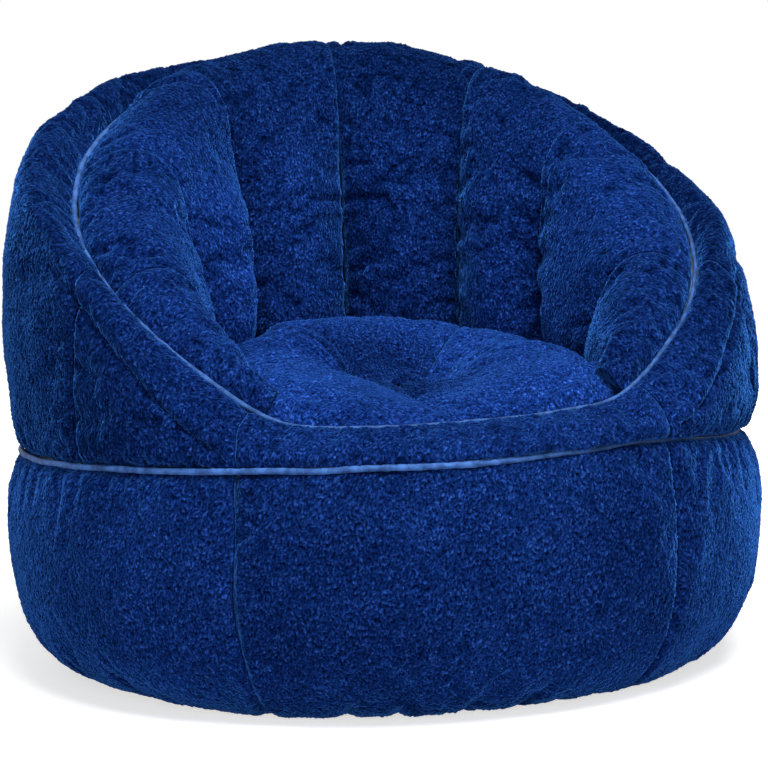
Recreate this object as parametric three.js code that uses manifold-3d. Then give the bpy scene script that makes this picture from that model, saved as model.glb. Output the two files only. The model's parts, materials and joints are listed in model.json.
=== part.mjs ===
// Bean bag tub chair: a drum-shaped bead base under a horseshoe wall of padded channels, with a
// pie-cut seat cushion, two lines of piping and a zip in the base.
// Millimetres, +Z up. The origin is on the floor, on the drum's axis. The front faces -Y.
// Angles are in degrees. A chair angle runs round the drum's axis from the front, towards +X.

import * as THREE from 'three';
import { mergeVertices } from 'three/addons/utils/BufferGeometryUtils.js';
import Module from 'manifold-3d';

const wasm = await Module();
wasm.setup();

// ---------------------------------------------------------------- driving dimensions

const gap = 0.3;                      // clearance between pieces that touch
const seamGap = 0.8;                  // between two fabric pieces sewn edge to edge
const pipingGap = 1.5;                // from the piping to the fabric beside it
const fabric = 9;                     // plush fabric with its wadding backing
const pipingRadius = 4.3;             // satin piping over its cord

const drum = {
  footRadius: 292,                    // flat part that stands on the floor
  bulgeRadius: 415,                   // widest ring of the base
  bulgeHeight: 146,                   // height of that ring
  seamRadius: 397,                    // ring where base and upper part are sewn
  seamHeight: 246,
  frontLift: 7,                       // the front of that seam is pulled up
  frontHalfAngle: 33,                 // half of the front base panel
  seamPull: 8,                        // how far a vertical seam pulls in
  footGap: 1.6,                       // between the side panels and the round bottom
};

const rim = {
  frontRadius: 340,                   // rim piping at the middle of the front
  cornerRadius: 356,                  // rim piping past the front corners
  backRadius: 314,
  frontRise: 41,                      // heights above the base seam
  backRise: 426,
  cornerAngle: 29,                    // the front edge runs level up to here
};

const upper = {
  lowerBulge: 36,                     // how far the outer wall swells above the base seam
  upperBulge: 102,                    // how far it swells out below the rim
  crownRise: 92,                      // height of the roll that carries the rim, as a control height
  armSeam: 62,                        // chair angle of the seam at the front of each arm
  sideSeam: 121,                      // chair angle of the seam behind each arm
};

const tub = {
  centreY: -50,                       // middle of the ring that the channels stand on
  ringRadius: 235,                    // that ring, at seat level
  cornerInset: 5.3,                   // the ring's front corners stand this far inside the rim
  channelAngle: 34,                   // width of a channel, seen from the ring's middle
  opensAt: 98,                        // past this angle the ring opens out towards its corners
  rimAngles: [31, 62, 105, 138, 180], // chair angles where the channel seams meet the rim
  padding: 14,                        // channel thickness at its seams
  crease: 0.54,                       // share of a channel's height where its lobe ends
  lobePuff: 44,                       // how far a channel swells below the crease
  crownPuff: 14,                      // and above it
  seamDepths: [1, 1, 0.8, 0.6, 1],    // how deep its seams pull in, from the back to the corners
  roll: 150,                          // control length of the crown's reach in over the seat
};

const seat = {
  wedges: 5,
  tuftY: -90,                         // where the wedge tips meet
  tuftHole: 5,
  tuftFlat: 10,                       // the wedges lie level under the cap of the tie
  frontRise: 38,                      // edge above the base seam at the front rim
  backRise: 88,                       // edge above the base seam at the back
  tuftRise: 60,
  frontPuff: 52,                      // crown of the wedges in front
  backPuff: 80,                       // and at the back
  padding: 12,
  edgeGap: 3,                         // between the cushion and the channels
  fillInset: 9,                       // between the wedges and the fill under them
};

const deck = { thickness: 3, edgeGap: 2 };

const tie = {
  cordRadius: 1.8,
  holeRadius: 2.6,
  capRadius: 8,
  capHeight: 4,
  capClearance: 3.2,
  knotRadius: 6,
  knotHeight: 2.4,
};

const wallFill = {
  inset: 12,
  corner: 0.8,                        // it stops short of the corners by this share of a channel
  innerReach: 0.6,                    // up the channels, and up the outer wall
  outerReach: 0.62,
};

const liner = { thickness: 1.6, edgeGap: 4, floorHeight: 17.2, topGap: 4 };
const beads = { edgeGap: 2, floorGap: 8, topGap: 2 };

const zip = {
  pitch: 7.2,                         // from tooth to tooth on one side
  toothNeck: 1.7,                     // width of the dovetail at the cord
  toothReach: 1.3,                    // past the zip's centre line
  toothLength: 4.6,
  toothThickness: 2.4,
  cordWidth: 2.2,                     // bead cord that carries the teeth
  tapeWidth: 14,
  tapeThickness: 1,
  tapeEnd: 12,                        // tape past the last tooth
  plateThickness: 1.1,                // slider plates
  sliderLength: 15,
  flangeWidth: 1.2,
  play: 0.4,                          // slider round the teeth and the tape
  postWidth: 2.2,
  postLength: 3,
  lugHeight: 2.6,
  lugHole: 0.9,
  stopLength: 3.5,
  stopWall: 0.8,
  slotPlay: 1,                        // slider in the slot of the fabric
};

const coverZip = { name: 'cover_zip', length: 468 };
const linerZip = { name: 'liner_zip', length: 338 };

// worked out from the sizes above
const edge = pipingRadius + pipingGap;
const deckTop = drum.seamHeight + deck.thickness;
const cordInner = zip.toothLength - zip.toothReach;
const cordOuter = cordInner + zip.cordWidth;
const sliderHalfWidth = cordOuter + zip.play + zip.flangeWidth;
const slotHalfWidth = sliderHalfWidth + zip.slotPlay;
const slotHalfLength = (zipRun) => zipRun.length / 2 + zip.sliderLength;
coverZip.height = fabric + gap + zip.tapeThickness / 2;
linerZip.height = liner.floorHeight + liner.thickness + gap + zip.tapeThickness / 2;

// ---------------------------------------------------------------- colours

const plush = { color: 0x10338f, roughness: 0.95, metalness: 0 };
const plushShade = { color: 0x0d2b7c, roughness: 0.95, metalness: 0 };
const satin = { color: 0x3f74c8, roughness: 0.45, metalness: 0 };
const lining = { color: 0xe7e6e2, roughness: 0.85, metalness: 0 };
const beadFill = { color: 0xf4f4f2, roughness: 0.7, metalness: 0 };
const navyPlastic = { color: 0x0b1c4a, roughness: 0.4, metalness: 0 };
const nickel = { color: 0xb9bcc0, roughness: 0.3, metalness: 1 };

// ---------------------------------------------------------------- small helpers

const radians = THREE.MathUtils.degToRad;
const lerp = THREE.MathUtils.lerp;
const clamp = THREE.MathUtils.clamp;
const smooth = (x, low, high) => THREE.MathUtils.smoothstep(x, low, high);
const atAngle = (radius, angle, z) =>
  new THREE.Vector3(radius * Math.sin(radians(angle)), -radius * Math.cos(radians(angle)), z);

const chair = new THREE.Group();

function addPiece(name, geometry, finish) {
  geometry.computeVertexNormals();
  const mesh = new THREE.Mesh(geometry, new THREE.MeshStandardMaterial(finish));
  mesh.name = name;
  chair.add(mesh);
  return mesh;
}

function merged(geometry) {
  const bare = geometry.clone();
  bare.deleteAttribute('normal');
  bare.deleteAttribute('uv');
  return mergeVertices(bare, 1e-3);
}

function signedVolume(geometry) {
  const point = geometry.attributes.position;
  const index = geometry.index;
  const [a, b, c] = [new THREE.Vector3(), new THREE.Vector3(), new THREE.Vector3()];
  let volume = 0;
  for (let i = 0; i < index.count; i += 3) {
    a.fromBufferAttribute(point, index.getX(i));
    b.fromBufferAttribute(point, index.getX(i + 1));
    c.fromBufferAttribute(point, index.getX(i + 2));
    volume += a.dot(b.cross(c)) / 6;
  }
  return volume;
}

// Turns every face round when the shape came out inside out.
function facingOut(geometry) {
  if (signedVolume(geometry) < 0) {
    const index = geometry.index;
    for (let i = 0; i < index.count; i += 3) {
      const second = index.getX(i + 1);
      index.setX(i + 1, index.getX(i + 2));
      index.setX(i + 2, second);
    }
  }
  return geometry;
}

// A box with nu by nv by nw cells whose corners are placed by place(u, v, w), each from 0 to 1.
// The cells of its low u side are split along the other diagonal, as those of its high u side are,
// so that a twisted side lies flush with the same side of the next piece.
function mappedBox(nu, nv, nw, place) {
  const box = new THREE.BoxGeometry(1, 1, 1, nu, nv, nw);
  const lowSide = box.groups[1];
  for (let i = lowSide.start; i < lowSide.start + lowSide.count; i += 6) {
    const [a, b, d, , c] = Array.from({ length: 6 }, (_, k) => box.index.getX(i + k));
    [a, b, c, a, c, d].forEach((corner, k) => box.index.setX(i + k, corner));
  }
  const geometry = merged(box);
  const point = geometry.attributes.position;
  for (let i = 0; i < point.count; i++) {
    const at = place(point.getX(i) + 0.5, point.getY(i) + 0.5, point.getZ(i) + 0.5);
    point.setXYZ(i, at.x, at.y, at.z);
  }
  return facingOut(geometry);
}

function toSolid(geometry) {
  const bare = merged(geometry);
  return new wasm.Manifold(new wasm.Mesh({
    numProp: 3,
    vertProperties: new Float32Array(bare.attributes.position.array),
    triVerts: new Uint32Array(bare.index.array),
  }));
}

function toGeometry(solid) {
  const mesh = solid.getMesh();
  const geometry = new THREE.BufferGeometry();
  geometry.setAttribute('position', new THREE.BufferAttribute(mesh.vertProperties, 3));
  geometry.setIndex(new THREE.BufferAttribute(mesh.triVerts, 1));
  return geometry;
}

const boxBetween = (low, high) =>
  new THREE.BoxGeometry(high[0] - low[0], high[1] - low[1], high[2] - low[2])
    .translate((low[0] + high[0]) / 2, (low[1] + high[1]) / 2, (low[2] + high[2]) / 2);

function bezier(start, startControl, endControl, end, t) {
  return new THREE.CubicBezierCurve3(start, startControl, endControl, end).getPoint(t);
}

// ---------------------------------------------------------------- the guiding lines

// Height of the seam between the base and the upper part.
function seamHeight(angle) {
  const offFront = Math.abs(THREE.MathUtils.euclideanModulo(angle + 180, 360) - 180);
  return drum.seamHeight + drum.frontLift * (1 - smooth(offFront, 10, 80));
}

// How far round the rim has climbed: 0 along the front edge, 1 at the middle of the back.
const climb = (angle) =>
  Math.sin((Math.PI / 2) * clamp((Math.abs(angle) - rim.cornerAngle) / (180 - rim.cornerAngle), 0, 1));

function rimRadius(angle) {
  const off = Math.abs(angle);
  const front = lerp(rim.frontRadius, rim.cornerRadius, smooth(off, 8, 40));
  return lerp(front, rim.backRadius, smooth(off, 45, 125));
}

const rimHeight = (angle) => drum.seamHeight + lerp(rim.frontRise, rim.backRise, climb(angle));
const rimPoint = (angle, inset = 0) => atAngle(rimRadius(angle) - inset, angle, rimHeight(angle));

// 1 in the middle of a panel, 0 at its seams, which are at the whole numbers.
const crowned = (u, sharpness = 0.6) => Math.pow(Math.abs(Math.sin(Math.PI * u)), sharpness);

// ---------------------------------------------------------------- base drum

// Outline of the drum from the floor, v = 0, to the seam, v = 1, as [radius, height].
const bulgeShare = 0.55;
function drumOutline(v, top) {
  if (v < bulgeShare) {
    const turn = (Math.PI / 2) * (v / bulgeShare);
    return [
      drum.footRadius + (drum.bulgeRadius - drum.footRadius) * Math.sin(turn),
      drum.bulgeHeight * (1 - Math.cos(turn)),
    ];
  }
  const rise = (v - bulgeShare) / (1 - bulgeShare);
  return [
    drum.bulgeRadius - (drum.bulgeRadius - drum.seamRadius) * Math.pow(rise, 2.2),
    lerp(drum.bulgeHeight, top, rise),
  ];
}

// A point under the drum's surface, measured square to the outline.
function drumPoint(angle, v, depth, pull = 0) {
  const top = seamHeight(angle) - pipingRadius - gap;
  const step = 0.01;
  const [r0, z0] = drumOutline(Math.max(v - step, 0), top);
  const [r1, z1] = drumOutline(Math.min(v + step, 1), top);
  const [r, z] = drumOutline(v, top);
  const along = Math.hypot(r1 - r0, z1 - z0);
  const inward = v === 0 ? [0, 1] : [-(z1 - z0) / along, (r1 - r0) / along];
  const radius = r + inward[0] * depth - pull * Math.sin(Math.PI * v);
  // the edge on the floor and the edge at the seam stay level
  const height = v === 1 ? z : Math.max(z + inward[1] * depth, 0);
  return atAngle(radius, angle, height);
}

const basePanelSeams = [-1, 1].map((side) => side * drum.frontHalfAngle);
const restAngle = (360 - 2 * drum.frontHalfAngle) / 4;
for (let i = 1; i < 4; i++) basePanelSeams.push(drum.frontHalfAngle + i * restAngle);
basePanelSeams.push(360 - drum.frontHalfAngle);

function basePanel(from, to) {
  const slack = THREE.MathUtils.radToDeg(seamGap / 2 / drum.footRadius);
  return mappedBox(7, 6, 1, (u, v, w) => {
    const angle = lerp(from + slack, to - slack, u);
    return drumPoint(angle, v, lerp(fabric, 0, w), drum.seamPull * (1 - crowned(u, 0.5)));
  });
}

function makeBasePanels() {
  const names = ['front', 'right', 'back_right', 'back_left', 'left'];
  names.forEach((name, i) =>
    addPiece(`base_panel_${name}`, basePanel(basePanelSeams[i], basePanelSeams[i + 1]), plush));
}

// Half of the round bottom, in front of or behind the zip, with a notch for its share of the slot.
function bottomPanel(side) {
  const radius = drum.footRadius - drum.footGap;
  const notch = slotHalfLength(coverZip);
  const seam = gap / 2;
  const start = Math.asin(seam / radius);
  const outline = new THREE.Shape().absarc(0, 0, radius, start, Math.PI - start, false);
  outline.lineTo(-notch, seam).lineTo(-notch, slotHalfWidth);
  outline.lineTo(notch, slotHalfWidth).lineTo(notch, seam);
  const geometry = new THREE.ExtrudeGeometry(outline,
    { depth: fabric, bevelEnabled: false, curveSegments: 20 });
  if (side < 0) geometry.rotateZ(Math.PI);
  return geometry;
}

function makeBottomPanels() {
  addPiece('bottom_panel_front', bottomPanel(-1), plushShade);
  addPiece('bottom_panel_back', bottomPanel(1), plushShade);
}

// ---------------------------------------------------------------- piping

// A tube along a ring that starts and ends at the middle of the back, with a butt joint there.
function pipingTube(place, steps) {
  const open = 0.12;
  const points = [];
  for (let i = 0; i <= steps; i++) points.push(place(lerp(-180 + open, 180 - open, i / steps)));
  const section = new THREE.Shape().absarc(0, 0, pipingRadius, 0, 2 * Math.PI);
  return new THREE.ExtrudeGeometry(section, {
    steps, curveSegments: 4, extrudePath: new THREE.CatmullRomCurve3(points),
  });
}

function makePipings() {
  addPiece('base_piping',
    pipingTube((angle) => atAngle(drum.seamRadius, angle, seamHeight(angle)), 48), satin);
  addPiece('rim_piping', pipingTube((angle) => rimPoint(angle), 60), satin);
}

// ---------------------------------------------------------------- outer wall of the upper part

// A point on the outer wall, s = 0 at the base seam and s = 1 at the rim, under the surface by depth.
function outerPoint(angle, s, depth, pull = 0) {
  const low = atAngle(drum.seamRadius, angle, seamHeight(angle) + edge);
  const high = rimPoint(angle, -edge);
  const rise = high.z - low.z;
  const tall = clamp(1.5 * rise / rim.backRise, 0, 1);
  const lowControl = atAngle(drum.seamRadius + lerp(10, upper.lowerBulge, tall), angle,
    low.z + 0.4 * rise);
  const highControl = atAngle(rimRadius(angle) + lerp(36, upper.upperBulge, tall), angle,
    high.z + lerp(14, upper.crownRise, tall));
  const at = bezier(low, lowControl, highControl, high, s);
  const before = bezier(low, lowControl, highControl, high, Math.max(s - 0.01, 0));
  const after = bezier(low, lowControl, highControl, high, Math.min(s + 0.01, 1));
  const out = atAngle(1, angle, 0);
  const sideways = atAngle(1, angle + 90, 0);
  const inward = after.sub(before).cross(sideways).normalize();
  // both edges of the fabric are cut square to the seam that they meet
  if (s === 0) inward.set(-out.x, -out.y, 0);
  return at.addScaledVector(inward, depth).addScaledVector(out, -pull * Math.sin(Math.PI * s));
}

function outerPanel(from, to, cells) {
  const slack = THREE.MathUtils.radToDeg(seamGap / 2 / rim.backRadius);
  return mappedBox(cells[0], cells[1], 1, (u, v, w) =>
    outerPoint(lerp(from + slack, to - slack, u), v, lerp(fabric, 0, w),
      drum.seamPull * (1 - crowned(u, 0.5))));
}

function makeOuterPanels() {
  const front = drum.frontHalfAngle;
  addPiece('front_apron', outerPanel(-front, front, [10, 3]), plush);
  [['left', -1], ['right', 1]].forEach(([name, side]) => {
    const panel = (a, b, cells) => outerPanel(...[side * a, side * b].sort((p, q) => p - q), cells);
    addPiece(`arm_front_panel_${name}`, panel(front, upper.armSeam, [4, 6]), plush);
    addPiece(`arm_side_panel_${name}`, panel(upper.armSeam, upper.sideSeam, [6, 8]), plush);
    addPiece(`back_panel_${name}`, panel(upper.sideSeam, 180, [6, 8]), plush);
  });
}

// ---------------------------------------------------------------- channels inside the tub

const channelCount = 2 * (tub.rimAngles.length - 1);
const channelCells = 4;
const channelMiddle = channelCount / 2;

// Angle round the tub's own middle, from the back, of place c along the channels.
const ringAngle = (c) => (c - channelMiddle) * tub.channelAngle;

// The ring opens out towards its front corners, which lie just inside the rim.
const cornerForward = Math.abs(tub.centreY) * Math.cos(radians(180 - ringAngle(channelCount)));
const cornerRadius = Math.sqrt(
  (rim.cornerRadius - tub.cornerInset) ** 2 + cornerForward ** 2 - tub.centreY ** 2) - cornerForward;

function ringPoint(c, z) {
  const turn = ringAngle(c);
  const open = smooth(Math.abs(turn), tub.opensAt, 140);
  const radius = lerp(tub.ringRadius, cornerRadius, open);
  return new THREE.Vector3(radius * Math.sin(radians(turn)),
    tub.centreY + radius * Math.cos(radians(turn)), z);
}

// Chair angle where place c along the channels meets the rim.
function rimAngle(c) {
  const fromCorner = channelMiddle - Math.abs(c - channelMiddle);
  const whole = Math.min(Math.floor(fromCorner), channelMiddle - 1);
  const angle = lerp(tub.rimAngles[whole], tub.rimAngles[whole + 1], fromCorner - whole);
  return c < channelMiddle ? -angle : angle;
}

// The channel wall without its puff: t = 0 on the deck, t = 1 at the rim.
function wallPoint(c, t) {
  const low = ringPoint(c, deckTop + gap);
  const high = rimPoint(rimAngle(c), edge);
  const rise = high.z - low.z;
  const tall = clamp(1.4 * rise / rim.backRise, 0, 1);
  const inward = new THREE.Vector3(-high.x, tub.centreY - high.y, 0).normalize();
  const lowControl = low.clone().add(new THREE.Vector3(0, 0, 0.45 * rise));
  const highControl = high.clone().addScaledVector(inward, tub.roll * lerp(0.25, 1, tall))
    .add(new THREE.Vector3(0, 0, upper.crownRise * lerp(0.2, 0.85, tall)));
  return bezier(low, lowControl, highControl, high, t);
}

// Direction from the wall into the seat space.
function wallNormal(c, t) {
  const step = 0.02;
  const along = wallPoint(Math.min(c + step, channelCount), t)
    .sub(wallPoint(Math.max(c - step, 0), t));
  const up = wallPoint(c, Math.min(t + step, 1)).sub(wallPoint(c, Math.max(t - step, 0)));
  return along.cross(up).normalize();
}

// How far the fill swells a channel: a lobe below the crease, and the crown above it.
function channelPuff(c, t) {
  const seamDepth = tub.seamDepths[Math.round(Math.abs(c - channelMiddle))];
  const across = 1 - seamDepth * (1 - crowned(c, 0.7));
  const lobeShare = Math.pow(clamp(t / tub.crease, 0, 1), 1.25);
  const crownShare = clamp((t - tub.crease + 0.06) / (1.06 - tub.crease), 0, 1);
  return tub.lobePuff * crowned(lobeShare, 0.8) * across
    + tub.crownPuff * crowned(crownShare, 0.8) * lerp(1, across, 0.25);
}

function channel(index) {
  const slack = seamGap / 2 / (tub.ringRadius * radians(tub.channelAngle));
  return mappedBox(channelCells, 12, 1, (u, v, w) => {
    const c = lerp(index + slack, index + 1 - slack, u);
    const at = wallPoint(c, v);
    const normal = wallNormal(c, v);
    if (v === 0) normal.setZ(0).normalize();
    return at.addScaledVector(normal, w > 0.5 ? channelPuff(c, v) : -tub.padding);
  });
}

function makeChannels() {
  for (let i = 0; i < channelCount; i++) addPiece(`tub_channel_${i + 1}`, channel(i), plush);
}

// The stuffed horseshoe between the channels and the outer wall.
function makeWallFill() {
  const outerDepth = fabric + drum.seamPull + wallFill.inset;
  // its cells are as wide as the channels' cells, so the two surfaces run side by side
  const round = Math.round(channelCells * (channelCount - 2 * wallFill.corner));
  const geometry = mappedBox(round, 4, 1, (u, v, w) => {
    const c = lerp(wallFill.corner, channelCount - wallFill.corner, u);
    const t = lerp(0, wallFill.innerReach, v);
    const inner = wallPoint(c, t).addScaledVector(wallNormal(c, t), -tub.padding - wallFill.inset);
    const outer = outerPoint(rimAngle(c), lerp(0, wallFill.outerReach, v), outerDepth);
    inner.z = Math.max(inner.z, deckTop + gap);
    outer.z = Math.max(outer.z, deckTop + gap);
    return inner.lerp(outer, w);
  });
  addPiece('wall_fill', geometry, beadFill);
}

// ---------------------------------------------------------------- seat cushion

// Farthest that the cushion may reach from the tuft in this direction, given from the front
// towards +X, without touching the channels or the apron.
function seatReach(angle) {
  const direction = atAngle(1, angle, 0);
  const tuft = new THREE.Vector3(0, seat.tuftY, 0);
  let reach = 4 * tub.ringRadius;
  const limit = (point, normal) => {
    // distance from the tuft to a small plane facing it
    const facing = direction.dot(normal);
    if (facing > 0.2) reach = Math.min(reach, point.clone().sub(tuft).dot(normal) / facing);
  };
  const cushionTop = drum.seamHeight + seat.backRise + seat.frontPuff;
  for (let c = 0; c <= channelCount; c += 0.125) {
    for (let t = 0.02; t < 1 && wallPoint(c, t).z < cushionTop; t += 0.08) {
      const at = wallPoint(c, t).addScaledVector(wallNormal(c, t), channelPuff(c, t));
      at.z = 0;
      const outward = at.clone().sub(tuft).normalize();
      if (direction.dot(outward) > Math.cos(radians(6))) limit(at, outward);
    }
  }
  for (let a = -rim.cornerAngle - 4; a <= rim.cornerAngle + 4; a += 3) {
    const at = rimPoint(a, edge + fabric);
    at.z = 0;
    const outward = at.clone().sub(tuft).normalize();
    if (direction.dot(outward) > Math.cos(radians(6))) limit(at, outward);
  }
  return reach - seat.edgeGap;
}

// Top of the cushion: share is 0 at the tuft and 1 at the edge.
function seatTop(angle, share) {
  const back = 0.5 - 0.5 * Math.cos(radians(angle));
  const edgeRise = lerp(seat.frontRise, seat.backRise, smooth(back, 0, 0.7));
  const lobe = crowned((angle * seat.wedges) / 360, 0.6);
  const crown = Math.pow(share, 0.6) * (1 - Math.pow(share, 5));
  return drum.seamHeight + lerp(seat.tuftRise, edgeRise, Math.pow(share, 1.5))
    + lerp(seat.frontPuff, seat.backPuff, smooth(back, 0.7, 1)) * (0.35 + 0.65 * lobe) * crown;
}

const seatShare = (radius, reach) => clamp((radius - seat.tuftFlat) / (reach - seat.tuftFlat), 0, 1);

const seatWedgeAngle = 360 / seat.wedges;
const seatCells = 6;                  // across a wedge, and from the tuft to its edge

function seatWedge(index) {
  return mappedBox(seatCells, seatCells, 1, (u, v, w) => {
    const middle = (index + 0.5) * seatWedgeAngle;
    const angle = lerp(middle - seatWedgeAngle / 2, middle + seatWedgeAngle / 2, u);
    const reach = seatReach(angle);
    const radius = lerp(seat.tuftHole, reach, v);
    const z = seatTop(angle, seatShare(radius, reach)) - (w > 0.5 ? 0 : seat.padding);
    // both long edges step back from the seam by the same width all the way
    const back = atAngle(lerp(seamGap / 2, -seamGap / 2, u), middle + 90, 0);
    return atAngle(radius, angle, z).add(back).add(new THREE.Vector3(0, seat.tuftY, 0));
  });
}

// A ring turned about the vertical, whose points are placed by place(share, angle, level).
function mappedRing(profile, segments, place) {
  const outline = profile.map(([share, level]) => new THREE.Vector2(share, level));
  const geometry = merged(new THREE.LatheGeometry([...outline, outline[0]], segments));
  const point = geometry.attributes.position;
  for (let i = 0; i < point.count; i++) {
    const [x, y, z] = [point.getX(i), point.getY(i), point.getZ(i)];
    const at = place(Math.hypot(x, z), THREE.MathUtils.radToDeg(Math.atan2(x, z)), y);
    point.setXYZ(i, at.x, at.y, at.z);
  }
  return facingOut(geometry);
}

// The loose fill under the wedges, with a hole for the tie.
function seatFill() {
  const top = [];
  for (let i = seatCells; i > 0; i--) top.push([i / seatCells, 1]);
  const segments = seat.wedges * seatCells;
  return mappedRing([[0.01, 0.001], [1, 0.001], ...top, [0.01, 1]], segments, (share, angle, level) => {
    const reach = seatReach(angle) - seat.fillInset;
    const radius = lerp(seat.tuftHole, reach, share);
    const top = seatTop(angle, seatShare(radius, reach)) - seat.padding - seat.fillInset;
    const z = level < 0.5 ? deckTop + gap : top;
    return atAngle(radius, angle, z).add(new THREE.Vector3(0, seat.tuftY, 0));
  });
}

// A cord with a stitched cap in the tuft and a knot under the deck.
function tuftTie() {
  const capLow = drum.seamHeight + seat.tuftRise + tie.capClearance;
  const knotTop = drum.seamHeight - gap;
  const profile = [
    [0, knotTop - tie.knotHeight], [tie.knotRadius, knotTop - tie.knotHeight], [tie.knotRadius, knotTop],
    [tie.cordRadius, knotTop], [tie.cordRadius, capLow], [tie.capRadius, capLow],
    [tie.capRadius * 0.8, capLow + tie.capHeight], [0, capLow + tie.capHeight],
  ].map(([r, z]) => new THREE.Vector2(r, z));
  return facingOut(merged(new THREE.LatheGeometry(profile, 12))).rotateX(Math.PI / 2)
    .translate(0, seat.tuftY, 0);
}

function makeSeat() {
  const names = ['front_right', 'right', 'back', 'left', 'front_left'];
  names.forEach((name, i) => addPiece(`seat_wedge_${name}`, seatWedge(i), plush));
  addPiece('seat_fill', seatFill(), beadFill);
  addPiece('seat_tuft_tie', tuftTie(), lining);
}

// ---------------------------------------------------------------- inside the base

function deckPanel() {
  // the deck is sewn in at the seam, inside the cut edge of the side panels
  const radius = drumPoint(90, 1, fabric).x - deck.edgeGap;
  const outline = new THREE.Shape().absarc(0, 0, radius, 0, 2 * Math.PI);
  outline.holes.push(new THREE.Path().absarc(0, seat.tuftY, tie.holeRadius, 0, 2 * Math.PI, true));
  return new THREE.ExtrudeGeometry(outline,
    { depth: deck.thickness, bevelEnabled: false, curveSegments: 20 }).translate(0, 0, drum.seamHeight);
}

// A solid that fills the drum between two heights, this far under its surface.
function drumCore(low, high, depth) {
  const rings = 7;
  const profile = [new THREE.Vector2(0, low), new THREE.Vector2(drum.footRadius - depth, low)];
  for (let i = 1; i <= rings; i++) {
    const at = drumPoint(90, i / rings, depth);
    profile.push(new THREE.Vector2(at.x, clamp(at.z, low, high)));
  }
  profile.push(new THREE.Vector2(0, high));
  return facingOut(merged(new THREE.LatheGeometry(profile, 32))).rotateX(Math.PI / 2);
}

// A thin bag, open at the slot of its own zip.
function linerBag() {
  const depth = fabric + drum.seamPull + liner.edgeGap;
  const top = drum.seamHeight - liner.topGap;
  const outside = toSolid(drumCore(liner.floorHeight, top, depth));
  const inside = toSolid(drumCore(liner.floorHeight + liner.thickness, top - liner.thickness,
    depth + liner.thickness));
  const reach = slotHalfLength(linerZip);
  const slot = toSolid(boxBetween([-reach, -slotHalfWidth, liner.floorHeight - 1],
    [reach, slotHalfWidth, liner.floorHeight + liner.thickness + 1]));
  return toGeometry(outside.subtract(inside).subtract(slot));
}

function makeBaseInside() {
  const depth = fabric + drum.seamPull + liner.edgeGap + liner.thickness + beads.edgeGap;
  const top = drum.seamHeight - liner.topGap - liner.thickness - beads.topGap;
  addPiece('deck_panel', deckPanel(), lining);
  addPiece('base_liner', linerBag(), lining);
  addPiece('base_beads', drumCore(liner.floorHeight + beads.floorGap, top, depth), beadFill);
}

// ---------------------------------------------------------------- zips

// Width of a tooth at its tip. Each tooth is a dovetail that fits between two teeth of the other
// row: their heads are wider than the space between the tips, so closed rows can't be pulled apart.
const overlapShare = (2 * zip.toothReach) / zip.toothLength;
const toothHead = (zip.pitch - 2 * gap - zip.toothNeck * overlapShare) / (2 - overlapShare);

// One row of teeth on its bead cord, as a comb. side is -1 in front of the centre line, 1 behind it.
function teethRow(run, side) {
  const half = run.length / 2;
  const stagger = side < 0 ? 0 : zip.pitch / 2;
  const outline = new THREE.Shape().moveTo(-half - zip.tapeEnd, -cordOuter);
  outline.lineTo(half + zip.tapeEnd, -cordOuter).lineTo(half + zip.tapeEnd, -cordInner);
  const count = Math.floor((run.length - zip.pitch) / zip.pitch);
  for (let i = 1; i <= count; i++) {
    // teeth run back from the closed end, which is the same for both rows
    const x = half - zip.pitch * i + stagger;
    outline.lineTo(x + zip.toothNeck / 2, -cordInner).lineTo(x + toothHead / 2, zip.toothReach);
    outline.lineTo(x - toothHead / 2, zip.toothReach).lineTo(x - zip.toothNeck / 2, -cordInner);
  }
  outline.lineTo(-half - zip.tapeEnd, -cordInner);
  const geometry = new THREE.ExtrudeGeometry(outline, { depth: zip.toothThickness, bevelEnabled: false });
  geometry.translate(0, 0, run.height - zip.toothThickness / 2);
  if (side > 0) geometry.scale(1, -1, 1);
  return facingOut(merged(geometry));
}

function tape(run, side) {
  const half = run.length / 2 + zip.tapeEnd;
  const inner = cordOuter + gap;
  return boxBetween(
    [-half, Math.min(side * inner, side * (inner + zip.tapeWidth)), run.height - zip.tapeThickness / 2],
    [half, Math.max(side * inner, side * (inner + zip.tapeWidth)), run.height + zip.tapeThickness / 2]);
}

const sliderRest = (run) => run.length / 2 - 1;

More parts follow.
